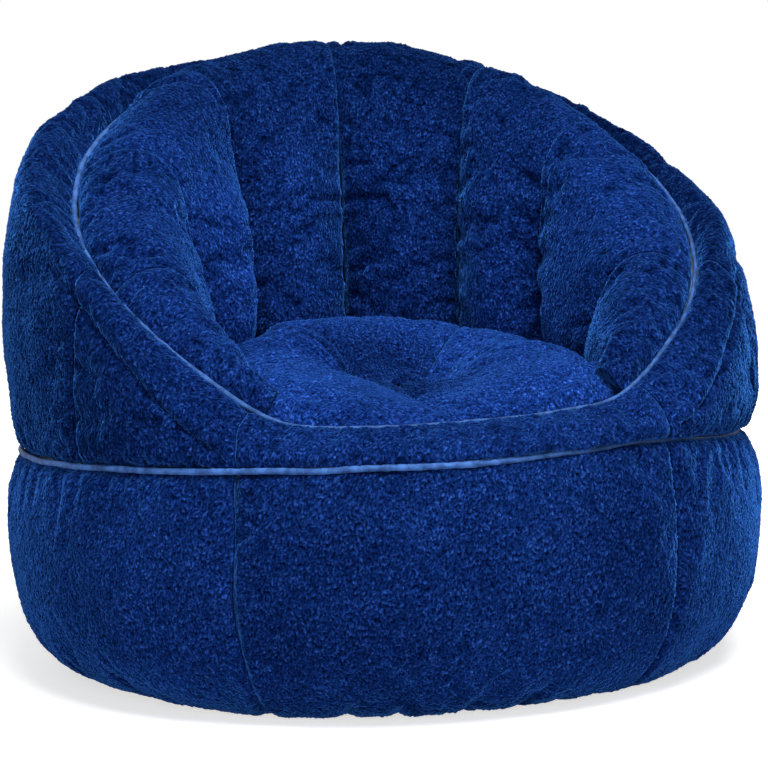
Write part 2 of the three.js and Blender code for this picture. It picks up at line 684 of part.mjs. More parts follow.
// Two plates round the teeth, with flanges that leave room for the tape, a post that parts the teeth
// and a lug on the outside for a tool. It has no pull tab.
function slider(run) {
  const half = zip.sliderLength / 2;
  const mouth = zip.toothThickness / 2 + zip.play;
  const slit = zip.tapeThickness / 2 + zip.play;
  const tail = sliderHalfWidth - 0.5 * zip.flangeWidth;
  const bury = 0.2;
  const outline = new THREE.Shape().moveTo(-half, -tail).lineTo(half - 2, -sliderHalfWidth)
    .lineTo(half, -sliderHalfWidth + 2).lineTo(half, sliderHalfWidth - 2)
    .lineTo(half - 2, sliderHalfWidth).lineTo(-half, tail);
  const plate = toSolid(new THREE.ExtrudeGeometry(outline,
    { depth: zip.plateThickness, bevelEnabled: false }));
  let body = plate.translate([0, 0, mouth]).add(plate.translate([0, 0, -mouth - zip.plateThickness]));
  for (const side of [-1, 1]) {
    for (const level of [-1, 1]) {
      const [y0, y1] = [side * (cordOuter + zip.play), side * tail].sort((a, b) => a - b);
      const [z0, z1] = [level * slit, level * (mouth + bury)].sort((a, b) => a - b);
      body = body.add(toSolid(boxBetween([-half, y0, z0], [half - 2, y1, z1])));
    }
  }
  const post = new THREE.CylinderGeometry(zip.postWidth / 2, zip.postWidth / 2, 2 * (mouth + bury), 6)
    .rotateX(Math.PI / 2).scale(zip.postLength / zip.postWidth, 1, 1);
  body = body.add(toSolid(post).translate([half - 3, 0, 0]));
  const under = -mouth - zip.plateThickness;
  const lug = toSolid(boxBetween([-half * 0.6, -1.2, under - zip.lugHeight],
    [half * 0.6, 1.2, under + bury]));
  const hole = toSolid(new THREE.CylinderGeometry(zip.lugHole, zip.lugHole, 4, 10))
    .translate([0, 0, under - zip.lugHeight / 2]);
  return toGeometry(body.add(lug.subtract(hole)))
    .translate(sliderRest(run), 0, run.height);
}

// A clip round the bead cords: one cord at the closed end, both at the open end.
function stop(run, sides, x) {
  const reach = zip.toothThickness / 2 + gap;
  const wall = reach + zip.stopWall;
  const ends = sides.flatMap((side) => [side * cordOuter, side * (cordInner - gap - zip.stopWall)]);
  let clip = toSolid(boxBetween([x, Math.min(...ends), -wall],
    [x + zip.stopLength, Math.max(...ends), wall]));
  for (const side of sides) {
    const inner = side * (cordInner - gap);
    const outer = side * (cordOuter + 2);
    clip = clip.subtract(toSolid(boxBetween([x - 1, Math.min(inner, outer), -reach],
      [x + zip.stopLength + 1, Math.max(inner, outer), reach])));
  }
  return toGeometry(clip).translate(0, 0, run.height);
}

function makeZip(run, tapeFinish) {
  const closedStop = sliderRest(run) + zip.sliderLength / 2 + 1;
  const openStop = -run.length / 2 - zip.stopLength;
  [['front', -1], ['back', 1]].forEach(([name, side]) => {
    addPiece(`${run.name}_tape_${name}`, tape(run, side), tapeFinish);
    addPiece(`${run.name}_teeth_${name}`, teethRow(run, side), navyPlastic);
    addPiece(`${run.name}_top_stop_${name}`, stop(run, [side], closedStop), nickel);
  });
  addPiece(`${run.name}_bottom_stop`, stop(run, [-1, 1], openStop), nickel);
  addPiece(`${run.name}_slider`, slider(run), nickel);
}

// ---------------------------------------------------------------- piece list

makeBasePanels();
makeBottomPanels();
makePipings();
makeOuterPanels();
makeChannels();
makeWallFill();
makeSeat();
makeBaseInside();
makeZip(coverZip, plushShade);
makeZip(linerZip, lining);

export default chair;
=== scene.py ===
"""Bean bag tub chair: plush panels, satin piping and a studio round the chair's CAD model."""

import json
import math

import bmesh
import bpy
import numpy as np
from bpy.props import FloatProperty, FloatVectorProperty, IntProperty, PointerProperty
from bpy.types import Operator, Panel, PropertyGroup
from mathutils import Matrix, Vector


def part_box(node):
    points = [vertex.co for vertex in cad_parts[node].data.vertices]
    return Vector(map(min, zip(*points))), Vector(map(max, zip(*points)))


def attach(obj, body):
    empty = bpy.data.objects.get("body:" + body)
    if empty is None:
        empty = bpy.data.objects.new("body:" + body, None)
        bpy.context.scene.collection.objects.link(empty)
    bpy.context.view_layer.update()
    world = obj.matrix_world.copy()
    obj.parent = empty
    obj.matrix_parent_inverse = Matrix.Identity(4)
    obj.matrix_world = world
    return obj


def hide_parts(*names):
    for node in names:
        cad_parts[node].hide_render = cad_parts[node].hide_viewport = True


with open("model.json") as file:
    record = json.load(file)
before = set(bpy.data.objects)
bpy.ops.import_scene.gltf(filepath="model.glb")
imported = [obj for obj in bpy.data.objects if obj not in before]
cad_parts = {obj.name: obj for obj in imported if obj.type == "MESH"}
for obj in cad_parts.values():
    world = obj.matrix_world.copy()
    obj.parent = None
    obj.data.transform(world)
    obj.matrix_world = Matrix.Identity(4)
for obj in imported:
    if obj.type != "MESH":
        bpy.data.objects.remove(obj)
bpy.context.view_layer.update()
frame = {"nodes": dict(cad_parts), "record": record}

bl_info = {
    "name": "Bean Bag Tub Chair",
    "version": (1, 0, 0),
    "blender": (4, 5, 0),
    "location": "3D View > Sidebar > Tub Chair",
    "description": "Builds the plush, the piping and the studio of a bean bag tub chair",
    "category": "Object",
}

CHAIR = "chair"
BASE_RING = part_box("base_piping")
RIM_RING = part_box("rim_piping")
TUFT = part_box("seat_tuft_tie")

CHANNELS = 8
WEDGES = 5
PIPE = 0.0043  # radius of the satin piping
SLACK = 0.0001  # from the side of a panel to the middle of its seam
RIM_INSET = 0.0053  # from the middle of the rim piping to the ring of the channels' feet
TUCK = 0.0055  # how deep the base piping is pulled into its seam on the right
CHANNEL_DEPTH = 0.014
WEDGE_DEPTH = 0.012
STUFFING_DEPTH = 0.0135  # top of the seat's stuffing, under the top of the wedges
TUFT_RADIUS = 0.010
CLOTH_SPACING = 0.0105  # mesh of the cloth that settles over the stuffing
UP = np.array([0, 0, 1.0])


# ---------------------------------------------------------------- sizes and colours


class ChairSizes(PropertyGroup):
    """Sizes of the chair's guiding surfaces."""

    foot_radius: FloatProperty(
        name="Foot radius", description="Flat part that stands on the floor",
        default=0.292, unit="LENGTH")
    bulge_radius: FloatProperty(
        name="Bulge radius", description="Widest ring of the base",
        default=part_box("base_panel_right")[1].x, unit="LENGTH")
    bulge_height: FloatProperty(
        name="Bulge height", description="Height of the widest ring",
        default=0.146, unit="LENGTH")
    seam_radius: FloatProperty(
        name="Base seam radius", description="Ring where the base meets the upper part",
        default=BASE_RING[1].x - PIPE, unit="LENGTH")
    seam_height: FloatProperty(
        name="Base seam height", description="Height of that ring at the back",
        default=BASE_RING[0].z + PIPE, unit="LENGTH")
    front_lift: FloatProperty(
        name="Front lift", description="How far the front of that ring is pulled up",
        default=BASE_RING[1].z - BASE_RING[0].z - 2 * PIPE, unit="LENGTH")
    front_half_angle: FloatProperty(
        name="Front panel", description="Half of the front base panel, in degrees",
        default=33)
    rim_front_radius: FloatProperty(
        name="Front rim radius", description="Rim piping at the middle of the front",
        default=0.340, unit="LENGTH")
    rim_corner_radius: FloatProperty(
        name="Corner rim radius", description="Rim piping past the front corners",
        default=0.356, unit="LENGTH")
    rim_back_radius: FloatProperty(
        name="Back rim radius", description="Rim piping at the back",
        default=0.314, unit="LENGTH")
    rim_front_height: FloatProperty(
        name="Front rim height", description="Rim piping at the middle of the front",
        default=RIM_RING[0].z + PIPE, unit="LENGTH")
    rim_back_height: FloatProperty(
        name="Back rim height", description="Rim piping at the back",
        default=RIM_RING[1].z - PIPE, unit="LENGTH")
    corner_angle: FloatProperty(
        name="Front corner", description="The front edge runs level up to this angle",
        default=29)
    crown_rise: FloatProperty(
        name="Crown rise", description="Control height of the roll that carries the rim",
        default=0.106, unit="LENGTH")
    roll: FloatProperty(
        name="Roll", description="Control length of the crown's reach in over the seat",
        default=0.150, unit="LENGTH")
    tub_centre: FloatProperty(
        name="Tub centre", description="Middle of the ring that the channels stand on",
        default=-0.050, unit="LENGTH")
    tub_radius: FloatProperty(
        name="Tub radius", description="That ring, at seat level", default=0.235, unit="LENGTH")
    channel_angle: FloatProperty(
        name="Channel width", description="Width of a channel, in degrees", default=34)
    deck_height: FloatProperty(
        name="Deck height", description="Top of the cloth deck under the seat",
        default=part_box("deck_panel")[1].z, unit="LENGTH")
    tuft_y: FloatProperty(
        name="Tuft place", description="Where the tips of the seat wedges meet",
        default=((TUFT[0] + TUFT[1]) / 2).y, unit="LENGTH")
    piping_radius: FloatProperty(
        name="Piping radius", description="Satin piping over its cord",
        default=PIPE, unit="LENGTH")
    fabric: FloatProperty(
        name="Fabric", description="Plush with its wadding backing",
        default=0.009, unit="LENGTH")


class PlushSettings(PropertyGroup):
    """The plush pile, its colours and the stuffing under it."""

    spacing: FloatProperty(
        name="Mesh spacing", description="Distance between the points that carry the pile",
        default=0.00158, unit="LENGTH")
    back_spacing: FloatProperty(
        name="Mesh spacing behind", description="The same distance on the panels at the back",
        default=0.0026, unit="LENGTH")
    cell: FloatProperty(
        name="Tuft spacing", description="Distance from tuft to tuft",
        default=0.0018, unit="LENGTH")
    length: FloatProperty(
        name="Tuft length", description="Length of a tuft as it lies",
        default=0.0042, unit="LENGTH")
    height: FloatProperty(
        name="Pile height", description="How far a tuft stands up",
        default=0.0034, unit="LENGTH")
    lump: FloatProperty(
        name="Lumps", description="Height of the soft lumps of the stuffing",
        default=0.0045, unit="LENGTH")
    pucker: FloatProperty(
        name="Puckers", description="Height of the gathers along a seam",
        default=0.0014, unit="LENGTH")
    pressure: FloatProperty(
        name="Stuffing", description="Pressure of the beads on the fabric", default=4.0)
    surplus: FloatProperty(
        name="Surplus", description="Share of fabric beyond what the surface needs",
        default=0.05)
    settling: FloatProperty(
        name="Settling", description="Share of the settled fabric's folds that is kept",
        default=0.8)
    frames: IntProperty(
        name="Steps", description="Frames that the fabric is given to settle", default=20)
    tip: FloatVectorProperty(
        name="Tips", description="Colour of the tips of the pile", subtype="COLOR", size=3,
        default=(0.029, 0.104, 0.500))
    body: FloatVectorProperty(
        name="Body", description="Colour halfway down the pile", subtype="COLOR", size=3,
        default=(0.0052, 0.025, 0.155))
    # the root colour is painted shade between the tufts
    root: FloatVectorProperty(
        name="Roots", description="Colour between the tufts", subtype="COLOR", size=3,
        default=(0.0004, 0.0032, 0.026))
    satin: FloatVectorProperty(
        name="Satin", description="Colour of the piping", subtype="COLOR", size=3,
        default=(0.050, 0.135, 0.400))


class StudioSettings(PropertyGroup):
    """Camera and lights."""

    distance: FloatProperty(
        name="Distance", description="From the camera to its target",
        default=2.4, unit="LENGTH")
    azimuth: FloatProperty(
        name="Azimuth", description="Camera round the chair, in degrees", default=12.4)
    elevation: FloatProperty(
        name="Elevation", description="Camera above the horizon, in degrees", default=4.5)
    roll: FloatProperty(
        name="Roll", description="Tilt of the camera, in degrees", default=-1.55)
    target_height: FloatProperty(
        name="Target height", description="Height that the camera looks at", default=0.300,
        unit="LENGTH")
    lens: FloatProperty(
        name="Lens", description="Focal length in millimetres", default=101.0)
    shift_x: FloatProperty(
        name="Shift right", description="Sideways shift of the frame", default=0.0046)
    shift_y: FloatProperty(
        name="Shift up", description="Upward shift of the frame", default=0.0018)
    key: FloatProperty(
        name="Key light", description="Power of the soft light overhead", default=85.0,
        unit="POWER")
    fill: FloatProperty(
        name="Fill light", description="Power of the soft fill light", default=26.0, unit="POWER")
    behind: FloatProperty(
        name="Back light", description="Power of the soft light behind the chair", default=22.0,
        unit="POWER")
    sky: FloatProperty(
        name="Surroundings", description="Light from all round", default=0.13)


def sizes():
    return bpy.context.scene.tub_sizes


def plush():
    return bpy.context.scene.tub_plush


# ---------------------------------------------------------------- small helpers

def lerp(a, b, t):
    return a + (b - a) * t


def smooth(x, low, high):
    t = np.clip((x - low) / (high - low), 0, 1)
    return t * t * (3 - 2 * t)


def hill(x, middle, width):
    """1 at the middle, falling smoothly to 0 about two widths away."""
    return np.exp(-((x - middle) / width) ** 2)


def from_front(angle):
    """The same angle from the front, between -180 and 180 degrees."""
    return (angle + 180) % 360 - 180


def at_angle(radius, angle, z):
    """A point of the ring of this radius and height, at an angle from the front to the right."""
    turn = np.radians(angle)
    return np.stack(np.broadcast_arrays(radius * np.sin(turn), -radius * np.cos(turn), z), -1)


def crowned(u, sharpness=0.6):
    """1 in the middle of a panel, 0 at its seams, which are at the whole numbers."""
    return np.abs(np.sin(np.pi * u)) ** sharpness


def bezier(start, start_control, end_control, end, t):
    t = t[..., None]
    s = 1 - t
    return s**3 * start + 3 * s * s * t * start_control + 3 * s * t * t * end_control + t**3 * end


def unit(v):
    return v / np.maximum(np.linalg.norm(v, axis=-1, keepdims=True), 1e-9)


def chance(cells, salt):
    """The same number from 0 to 1 each time for a whole-number cell."""
    c = cells.astype(np.int64)
    h = (c[..., 0] * 73856093) ^ (c[..., 1] * 19349663) ^ (c[..., 2] * 83492791)
    h = (h ^ (salt * 2654435761)) & 0xFFFFFFFF
    for _ in range(2):
        h = (h ^ (h >> 16)) * 0x45D9F3B & 0xFFFFFFFF
    h = h ^ (h >> 16)
    return (h & 0xFFFFFF) / float(0x1000000)


def waves(points, size, salt):
    """Smooth noise from -1 to 1 whose swells are about this size."""
    at = points / size + salt * 7.31
    cell = np.floor(at)
    part = at - cell
    part = part * part * (3 - 2 * part)
    total = 0
    for corner in np.ndindex(2, 2, 2):
        weight = np.prod(np.where(corner, part, 1 - part), axis=-1)
        total = total + weight * chance(cell + corner, salt)
    return 2 * total - 1


def running_length(points, axis):
    """Distance along the surface from the first row or column, in metres."""
    step = np.linalg.norm(np.diff(points, axis=axis), axis=-1)
    zero = np.zeros_like(np.take(points, [0], axis=axis)[..., 0])
    return np.concatenate([zero, np.cumsum(step, axis=axis)], axis=axis)


def square_to(points, outward):
    """Unit normals of a grid of points, on the side of outward."""
    normal = np.cross(np.gradient(points, axis=1), np.gradient(points, axis=0))
    return unit(normal * np.where((normal * outward).sum(-1, keepdims=True) < 0, -1, 1))


def spread(places, knots):
    """Weights that carry values given at the knots to these places, along a smooth curve."""
    at = np.interp(places, knots, np.arange(len(knots)))
    cell = np.clip(np.floor(at).astype(int), 0, len(knots) - 2)
    t = (at - cell)[:, None]
    weights = np.hstack([-t + 2 * t**2 - t**3, 2 - 5 * t**2 + 3 * t**3,
                         t + 4 * t**2 - 3 * t**3, -t**2 + t**3]) / 2
    table = np.zeros((len(places), len(knots)))
    for k in range(4):
        column = np.clip(cell + k - 1, 0, len(knots) - 1)
        np.add.at(table, (np.arange(len(places)), column), weights[:, k])
    return table


def smeared(grid, steps):
    """The grid averaged over its neighbours this many times, with its border held."""
    for _ in range(steps):
        for axis in (0, 1):
            first, last = (np.take(grid, [end], axis) for end in (0, -1))
            ends = np.concatenate([first, grid, last], axis)
            size = grid.shape[axis]
            grid = sum(np.take(ends, range(k, k + size), axis) for k in range(3)) / 3
    return grid


# ---------------------------------------------------------------- guiding surfaces

def gathered(angle):
    """1 at the right front corner, where the cover sits a little high, and 0 away from it."""
    return hill(from_front(angle), 29, 23)


def seam_height(angle):
    s = sizes()
    level = s.seam_height + s.front_lift * (1 - smooth(np.abs(from_front(angle)), 10, 80))
    return level + 0.009 * gathered(angle)


def tucked(angle):
    """0 where the base piping lies open, 1 on the right, where it lies deep in its seam."""
    turn = from_front(angle)
    return smooth(turn, -5, 35) * (1 - smooth(turn, 120, 175))


def snug(tuck=0.0):
    """How far from the middle of a piping the fabric beside it ends."""
    return lerp(0.45, 0.15, tuck) * sizes().piping_radius


def rim_radius(angle):
    s = sizes()
    off = np.abs(angle)
    front = lerp(s.rim_front_radius, s.rim_corner_radius, smooth(off, 8, 40))
    return lerp(front, s.rim_back_radius, smooth(off, 45, 125))


def rim_height(angle):
    s = sizes()
    past = np.abs(angle) - s.corner_angle
    # the level front turns into the climb over about four degrees
    rounded = (past + np.sqrt(past**2 + 4**2)) / 2
    climb = np.clip(rounded / (180 - s.corner_angle), 0, 1)
    level = lerp(s.rim_front_height, s.rim_back_height, np.sin(np.pi / 2 * climb))
    return level + 0.008 * gathered(angle)


def rim_point(angle, inset=0.0):
    return at_angle(rim_radius(angle) - inset, angle, rim_height(angle))


def tallness(rise, share):
    """0 where the wall is low, 1 where it is high."""
    s = sizes()
    return np.clip(share * rise / (s.rim_back_height - s.seam_height), 0, 1)


def wandering(angle, level):
    """The angle shifted a little, so that no sewn seam runs quite straight."""
    at = np.stack(np.broadcast_arrays(angle, 150 * level, 0 * level), -1)
    return angle + 0.6 * waves(at, 37.0, 61)


def drum_outline(v, top):
    """Radius and height of the base's side: v = 0 at the floor, 1 at the base seam."""
    s = sizes()
    under = 0.55  # share of the side that lies below the widest ring
    turn = np.pi / 2 * np.minimum(v / under, 1)
    bulging = np.sin(turn) ** 0.85
    rise = np.clip((v - under) / (1 - under), 0, 1)
    low = v < under
    radius = np.where(low, s.foot_radius + (s.bulge_radius - s.foot_radius) * bulging,
                      s.bulge_radius - (s.bulge_radius - s.seam_radius) * rise**2.2)
    height = np.where(low, s.bulge_height * (1 - np.cos(turn)), lerp(s.bulge_height, top, rise))
    return radius, height


def drum_point(angle, v, depth, pull):
    """A point under the base's surface. pull draws its side in, as a sewn seam does."""
    angle = wandering(angle, v)
    top = seam_height(angle) - snug(tucked(angle))
    r0, z0 = drum_outline(np.maximum(v - 0.01, 0), top)
    r1, z1 = drum_outline(np.minimum(v + 0.01, 1), top)
    radius, z = drum_outline(v, top)
    along = np.hypot(r1 - r0, z1 - z0)
    level = (v <= 0) | (v >= 1)
    radius = radius - (z1 - z0) / along * depth - pull * np.sin(np.pi * v)
    z = np.where(level, z, np.maximum(z + (r1 - r0) / along * depth, 0))
    return at_angle(radius, angle, z)


def outer_point(angle, s, depth, pull):
    """A point under the outer wall: s = 0 at the base seam, 1 at the rim."""
    size = sizes()
    angle = wandering(angle, s)
    low = at_angle(size.seam_radius, angle, seam_height(angle) + snug(tucked(angle)))
    high = rim_point(angle, -snug())
    rise = high[..., 2] - low[..., 2]
    tall = tallness(rise, 1.5)
    full = smooth(tall, 0.12, 0.85)
    right = np.sin(np.radians(angle))
    low_control = at_angle(size.seam_radius + lerp(0.010, 0.036, tall) + 0.015 * right, angle,
                           low[..., 2] + (0.38 - 0.06 * right) * rise)
    # the crown stands fuller on the left, most of all behind the arm
    crown = size.crown_rise + 0.003 - 0.023 * right + 0.014 * hill(angle, -135, 28)
    high_control = at_angle(rim_radius(angle) + lerp(0.022, 0.056 - 0.019 * right, full), angle,
                            high[..., 2] + lerp(-0.002, crown, full))
    at = bezier(low, low_control, high_control, high, s)
    before = bezier(low, low_control, high_control, high, np.maximum(s - 0.01, 0))
    after = bezier(low, low_control, high_control, high, np.minimum(s + 0.01, 1))
    out = at_angle(1.0, angle, 0.0)
    inward = unit(np.cross(after - before, at_angle(1.0, angle + 90, 0.0)))
    inward = np.where((s <= 0)[..., None], -out, inward)
    return at + inward * depth[..., None] - out * (pull * np.sin(np.pi * s))[..., None]


def seam_pull(u):
    """How far a panel is drawn in at its side seams."""
    return 0.0035 * (1 - crowned(u, 0.7))


def folded(angle, s):
    """The soft fold that runs up from each front corner across the arm."""
    off = np.abs(angle)
    line = 0.66 * (1 - np.exp(-np.maximum(off - 30.5, 0) / 15))
    there = smooth(off, 33, 37) * (1 - smooth(off, 58, 74))
    away = (s - line) * 0.26  # about in metres
    return there * (0.004 * hill(away, 0.022, 0.018) - 0.006 * hill(away, 0, 0.008))


def ring_point(c, z):
    """A point of the ring that the channels stand on. c counts them from the left corner."""
    s = sizes()
    turn = (c - CHANNELS / 2) * s.channel_angle
    corner_turn = CHANNELS / 2 * s.channel_angle
    forward = abs(s.tub_centre) * math.cos(math.radians(180 - corner_turn))
    limit = s.rim_corner_radius - RIM_INSET
    corner = math.sqrt(limit**2 + forward**2 - s.tub_centre**2) - forward
    radius = lerp(s.tub_radius, corner, smooth(np.abs(turn), 98, 140))
    ring = at_angle(-radius, -turn, z)
    return ring + np.array([0, s.tub_centre, 0])


def rim_angle(c):
    """Chair angle where place c along the channels meets the rim."""
    left = np.interp(CHANNELS / 2 - c, range(5), [180, 138, 98, 62, 31])
    right = np.interp(c - CHANNELS / 2, range(5), [180, 138, 105, 62, 31])
    return np.where(c < CHANNELS / 2, -left, right)


def wall_point(c, t):
    """The channel wall without its puff: t = 0 on the deck, 1 at the rim."""
    s = sizes()
    low = ring_point(c, s.deck_height + 0.0003)
    high = rim_point(rim_angle(c), snug())
    rise = high[..., 2] - low[..., 2]
    tall = tallness(rise, 1.4)
    inward = unit(np.stack([-high[..., 0], s.tub_centre - high[..., 1], 0 * rise], -1))
    low_control = low + UP * (0.45 * rise)[..., None]
    high_control = (high + inward * (s.roll * lerp(0.25, 1, tall))[..., None]
                    + UP * (s.crown_rise * lerp(0.2, 0.85, tall))[..., None])
    return bezier(low, low_control, high_control, high, t)


def wall_normal(c, t):
    along = wall_point(np.minimum(c + 0.02, CHANNELS), t) - wall_point(np.maximum(c - 0.02, 0), t)
    up = wall_point(c, np.minimum(t + 0.02, 1)) - wall_point(c, np.maximum(t - 0.02, 0))
    return unit(np.cross(along, up))


def channel_puff(c, t):
    """How far the stuffing swells a channel: most in its lower half, less in the crown above."""
    seam = np.array([1.0, 0.3, 0.8, 1.0, 1.0, 1.0, 0.8, 0.7, 1.0])[np.round(c).astype(int)]
    swells = [0.036, 0.036, 0.058, 0.044, 0.044, 0.044, 0.044, 0.046]
    full = np.interp(c, np.arange(CHANNELS) + 0.5, swells)
    full = lerp(full, 0.044, smooth(t, 0.4, 0.65))
    across = 1 - lerp(1, 0.25, smooth(t, 0.45, 0.8)) * seam * (1 - crowned(c, 0.7))
    swell = np.array([0, 0.62, 1, 0.88, 0.66, 0.46, 0.28, 0])
    level = spread(t.ravel(), [0, 0.1, 0.26, 0.42, 0.56, 0.72, 0.88, 1]) @ swell
    # the third channel is creased where its lower half meets the crown
    crease = 0.012 * hill(t, 0.55, 0.08) * hill(c, 2.5, 0.7)
    return (full * level.reshape(t.shape) - crease) * across


def seat_reaches():
    """How far the cushion reaches from the tuft, for each degree from the front."""
    s = sizes()
    c, t = np.meshgrid(np.linspace(0, CHANNELS, 129), np.linspace(0.02, 0.98, 13))
    wall = wall_point(c, t)
    puffed = wall + wall_normal(c, t) * channel_puff(c, t)[..., None]
    # the cushion touches only the lower part of the wall
    rows = puffed[wall[..., 2] < s.seam_height + 0.120]
    front = np.linspace(-s.corner_angle - 4, s.corner_angle + 4, 25)
    limits = np.concatenate([rows, rim_point(front, s.piping_radius + s.fabric)])
    limits = limits[:, :2] - np.array([0, s.tuft_y])
    distance = np.linalg.norm(limits, axis=1)
    degrees = np.arange(361)
    heading = at_angle(1.0, degrees, 0.0)[:, :2]
    facing = heading @ (limits / distance[:, None]).T
    ahead = facing > math.cos(math.radians(6))
    reach = np.where(ahead, distance / facing, np.inf).min(axis=1)
    # the cushion is pressed a little into the walls, most of all in its front corners
    corner = hill(np.abs(from_front(degrees)), 49, 15)
    return reach + 0.004 + 0.028 * corner


# The cushion's height over the base seam in millimetres. The rows go round it from the front
# seam to the right, each seam followed by the middle of a wedge. The columns go from the tuft
# to the edge.
SEAT_LEVELS = [0, 0.25, 0.5, 0.75, 0.92, 1]
SEAT_HEIGHTS = [
    [60, 51, 48, 52, 46, 36],
    [60, 61, 82, 80, 62, 44],
    [60, 66, 97, 98, 84, 60],
    [60, 60, 86, 97, 89, 72],
    [60, 58, 88, 110, 102, 80],
    [60, 68, 112, 124, 112, 84],
    [60, 63, 104, 116, 106, 80],
    [60, 60, 82, 90, 83, 70],
    [60, 68, 95, 94, 79, 56],
    [60, 66, 81, 74, 58, 42],
]


def seat_point(angle, share, depth, reaches):
    """A point under the top of the seat: share = 0 at the tuft, 1 at its edge."""
    s = sizes()
    reach = np.interp(angle, np.arange(361), reaches)
    radius = lerp(0.003, reach, share)
    level = np.clip((radius - TUFT_RADIUS) / (reach - TUFT_RADIUS), 0, 1)
    rows = np.arange(-1, 2 * WEDGES + 2)
    heights = np.array(SEAT_HEIGHTS)[rows % (2 * WEDGES)]
    round_it = spread(angle.ravel(), rows * 180 / WEDGES)
    z = np.einsum("ni,ij,nj->n", round_it, heights, spread(level.ravel(), SEAT_LEVELS))
    pressed = 0.014 * hill(np.abs(from_front(angle)), 50, 15) * smooth(level, 0.8, 1)
    z = s.seam_height + z.reshape(angle.shape) / 1000 + pressed
    return at_angle(radius, angle, z - depth) + np.array([0, s.tuft_y, 0])


# ---------------------------------------------------------------- fabric panels

class FabricPanel:
    """One padded panel of plush.

    place(u, v, depth) gives a point under its surface, u across the panel and v up it.
    side, low and high are how far the fabric dips at its sides, its lower and its upper border,
    and fade(v) lets the side seams fade out.
    unseen_below is the height under which the panel is out of sight and needs fewer rows.
    lift(u, v) raises a fold, painted_shading(u, v) is painted light and shade that scales the
    pile's colour, and parted is from 0 to 1, how deeply the pile parts in places.
    """

    def __init__(self, name, place, depth, spacing, side=0.0015, low=0.003, high=0.003,
                 unseen_below=-1.0, fade=None, lift=None, painted_shading=None, parted=0.5):
        self.name = name
        self.place = place
        self.depth = depth
        self.dips = (side, side, low, high)
        self.spacing = spacing
        self.unseen_below = unseen_below
        self.fade = fade
        self.lift = lift
        self.painted_shading = painted_shading
        self.parted = parted
        self.sim_u = None
        self.sim_v = None
        self.moves = None

    def grid(self, u, v, depth=0.0):
        across, up = np.meshgrid(u, v)
        return self.place(across, up, np.full_like(across, depth))

    def even_steps(self, spacing, unseen=1.0):
        """Places across and up the panel that are about this far apart on its surface.

        unseen is the share of the rows that is kept where the panel is out of sight.
        """
        fine = np.linspace(0, 1, 65)
        points = self.grid(fine, fine)
        width = running_length(points, 1)[:, -1].max()
        column = points[:, len(fine) // 2]
        step = np.linalg.norm(np.diff(column, axis=0), axis=1)
        step = step * np.where(column[1:, 2] < self.unseen_below, unseen, 1.0)
        length = np.concatenate([[0], np.cumsum(step)])
        rows = max(int(round(length[-1] / spacing)), 4) + 1
        columns = max(int(round(width / spacing)), 4) + 1
        v = np.interp(np.linspace(0, length[-1], rows), length, fine)
        return np.linspace(0, 1, columns), v


def grid_mesh(bm, points):
    """Adds a grid of faces whose corners are these points, and returns its vertices."""
    rows, columns = points.shape[:2]
    made = bmesh.ops.create_grid(bm, x_segments=columns - 1, y_segments=rows - 1, size=1)
    for vert, at in zip(made["verts"], points.reshape(-1, 3).tolist()):
        vert.co = at
    return made["verts"]


def settle(panels, cap):
    """Lets cloth that is held along its seams swell over the stuffing, by up to the cap."""
    p = plush()
    cloth = bmesh.new()
    starts = []
    for panel in panels:
        panel.sim_u, panel.sim_v = panel.even_steps(CLOTH_SPACING)
        points = panel.grid(panel.sim_u, panel.sim_v)
        outward = points - panel.grid(panel.sim_u, panel.sim_v, panel.depth)
        normal = np.cross(np.gradient(points, axis=1), np.gradient(points, axis=0))
        verts = grid_mesh(cloth, points)
        if (normal * outward).sum() < 0:
            faces = list({face for vert in verts for face in vert.link_faces})
            bmesh.ops.reverse_faces(cloth, faces=faces)
        starts.append(points)
    cloth.verts.index_update()
    held = [vert.index for vert in cloth.verts if vert.is_boundary]
    mesh = bpy.data.meshes.new("cloth")
    cloth.to_mesh(mesh)
    cloth.free()
    obj = bpy.data.objects.new("cloth", mesh)
    bpy.context.scene.collection.objects.link(obj)
    obj.vertex_groups.new(name="seams").add(held, 1.0, "REPLACE")
    settings = obj.modifiers.new("Cloth", "CLOTH").settings
    settings.quality = 4
    settings.mass = 0.25
    settings.tension_stiffness = 12
    settings.compression_stiffness = 12
    settings.shear_stiffness = 4
    settings.bending_stiffness = 1.2
    settings.use_pressure = True
    settings.uniform_pressure_force = p.pressure
    settings.shrink_min = -p.surplus
    settings.effector_weights.gravity = 0
    settings.vertex_group_mass = "seams"
    obj.modifiers["Cloth"].collision_settings.use_collision = False
    scene = bpy.context.scene
    for number in range(1, p.frames + 1):
        scene.frame_set(number)
    after = obj.evaluated_get(bpy.context.evaluated_depsgraph_get()).data
    co = np.empty(len(after.vertices) * 3)
    after.vertices.foreach_get("co", co)
    co = co.reshape(-1, 3)
    scene.frame_set(1)
    bpy.data.objects.remove(obj)
    bpy.data.meshes.remove(mesh)
    first = 0
    for panel, points in zip(panels, starts):
        count = points.shape[0] * points.shape[1]
        move = co[first:first + count].reshape(points.shape) - points
        size = np.linalg.norm(move, axis=-1, keepdims=True)
        move = move * np.minimum(1, cap / np.maximum(size, 1e-9))
        # the guides already have the full swell, so most of the even part comes off again
        panel.moves = p.settling * (move - 0.9 * smeared(move, 3))
        first += count


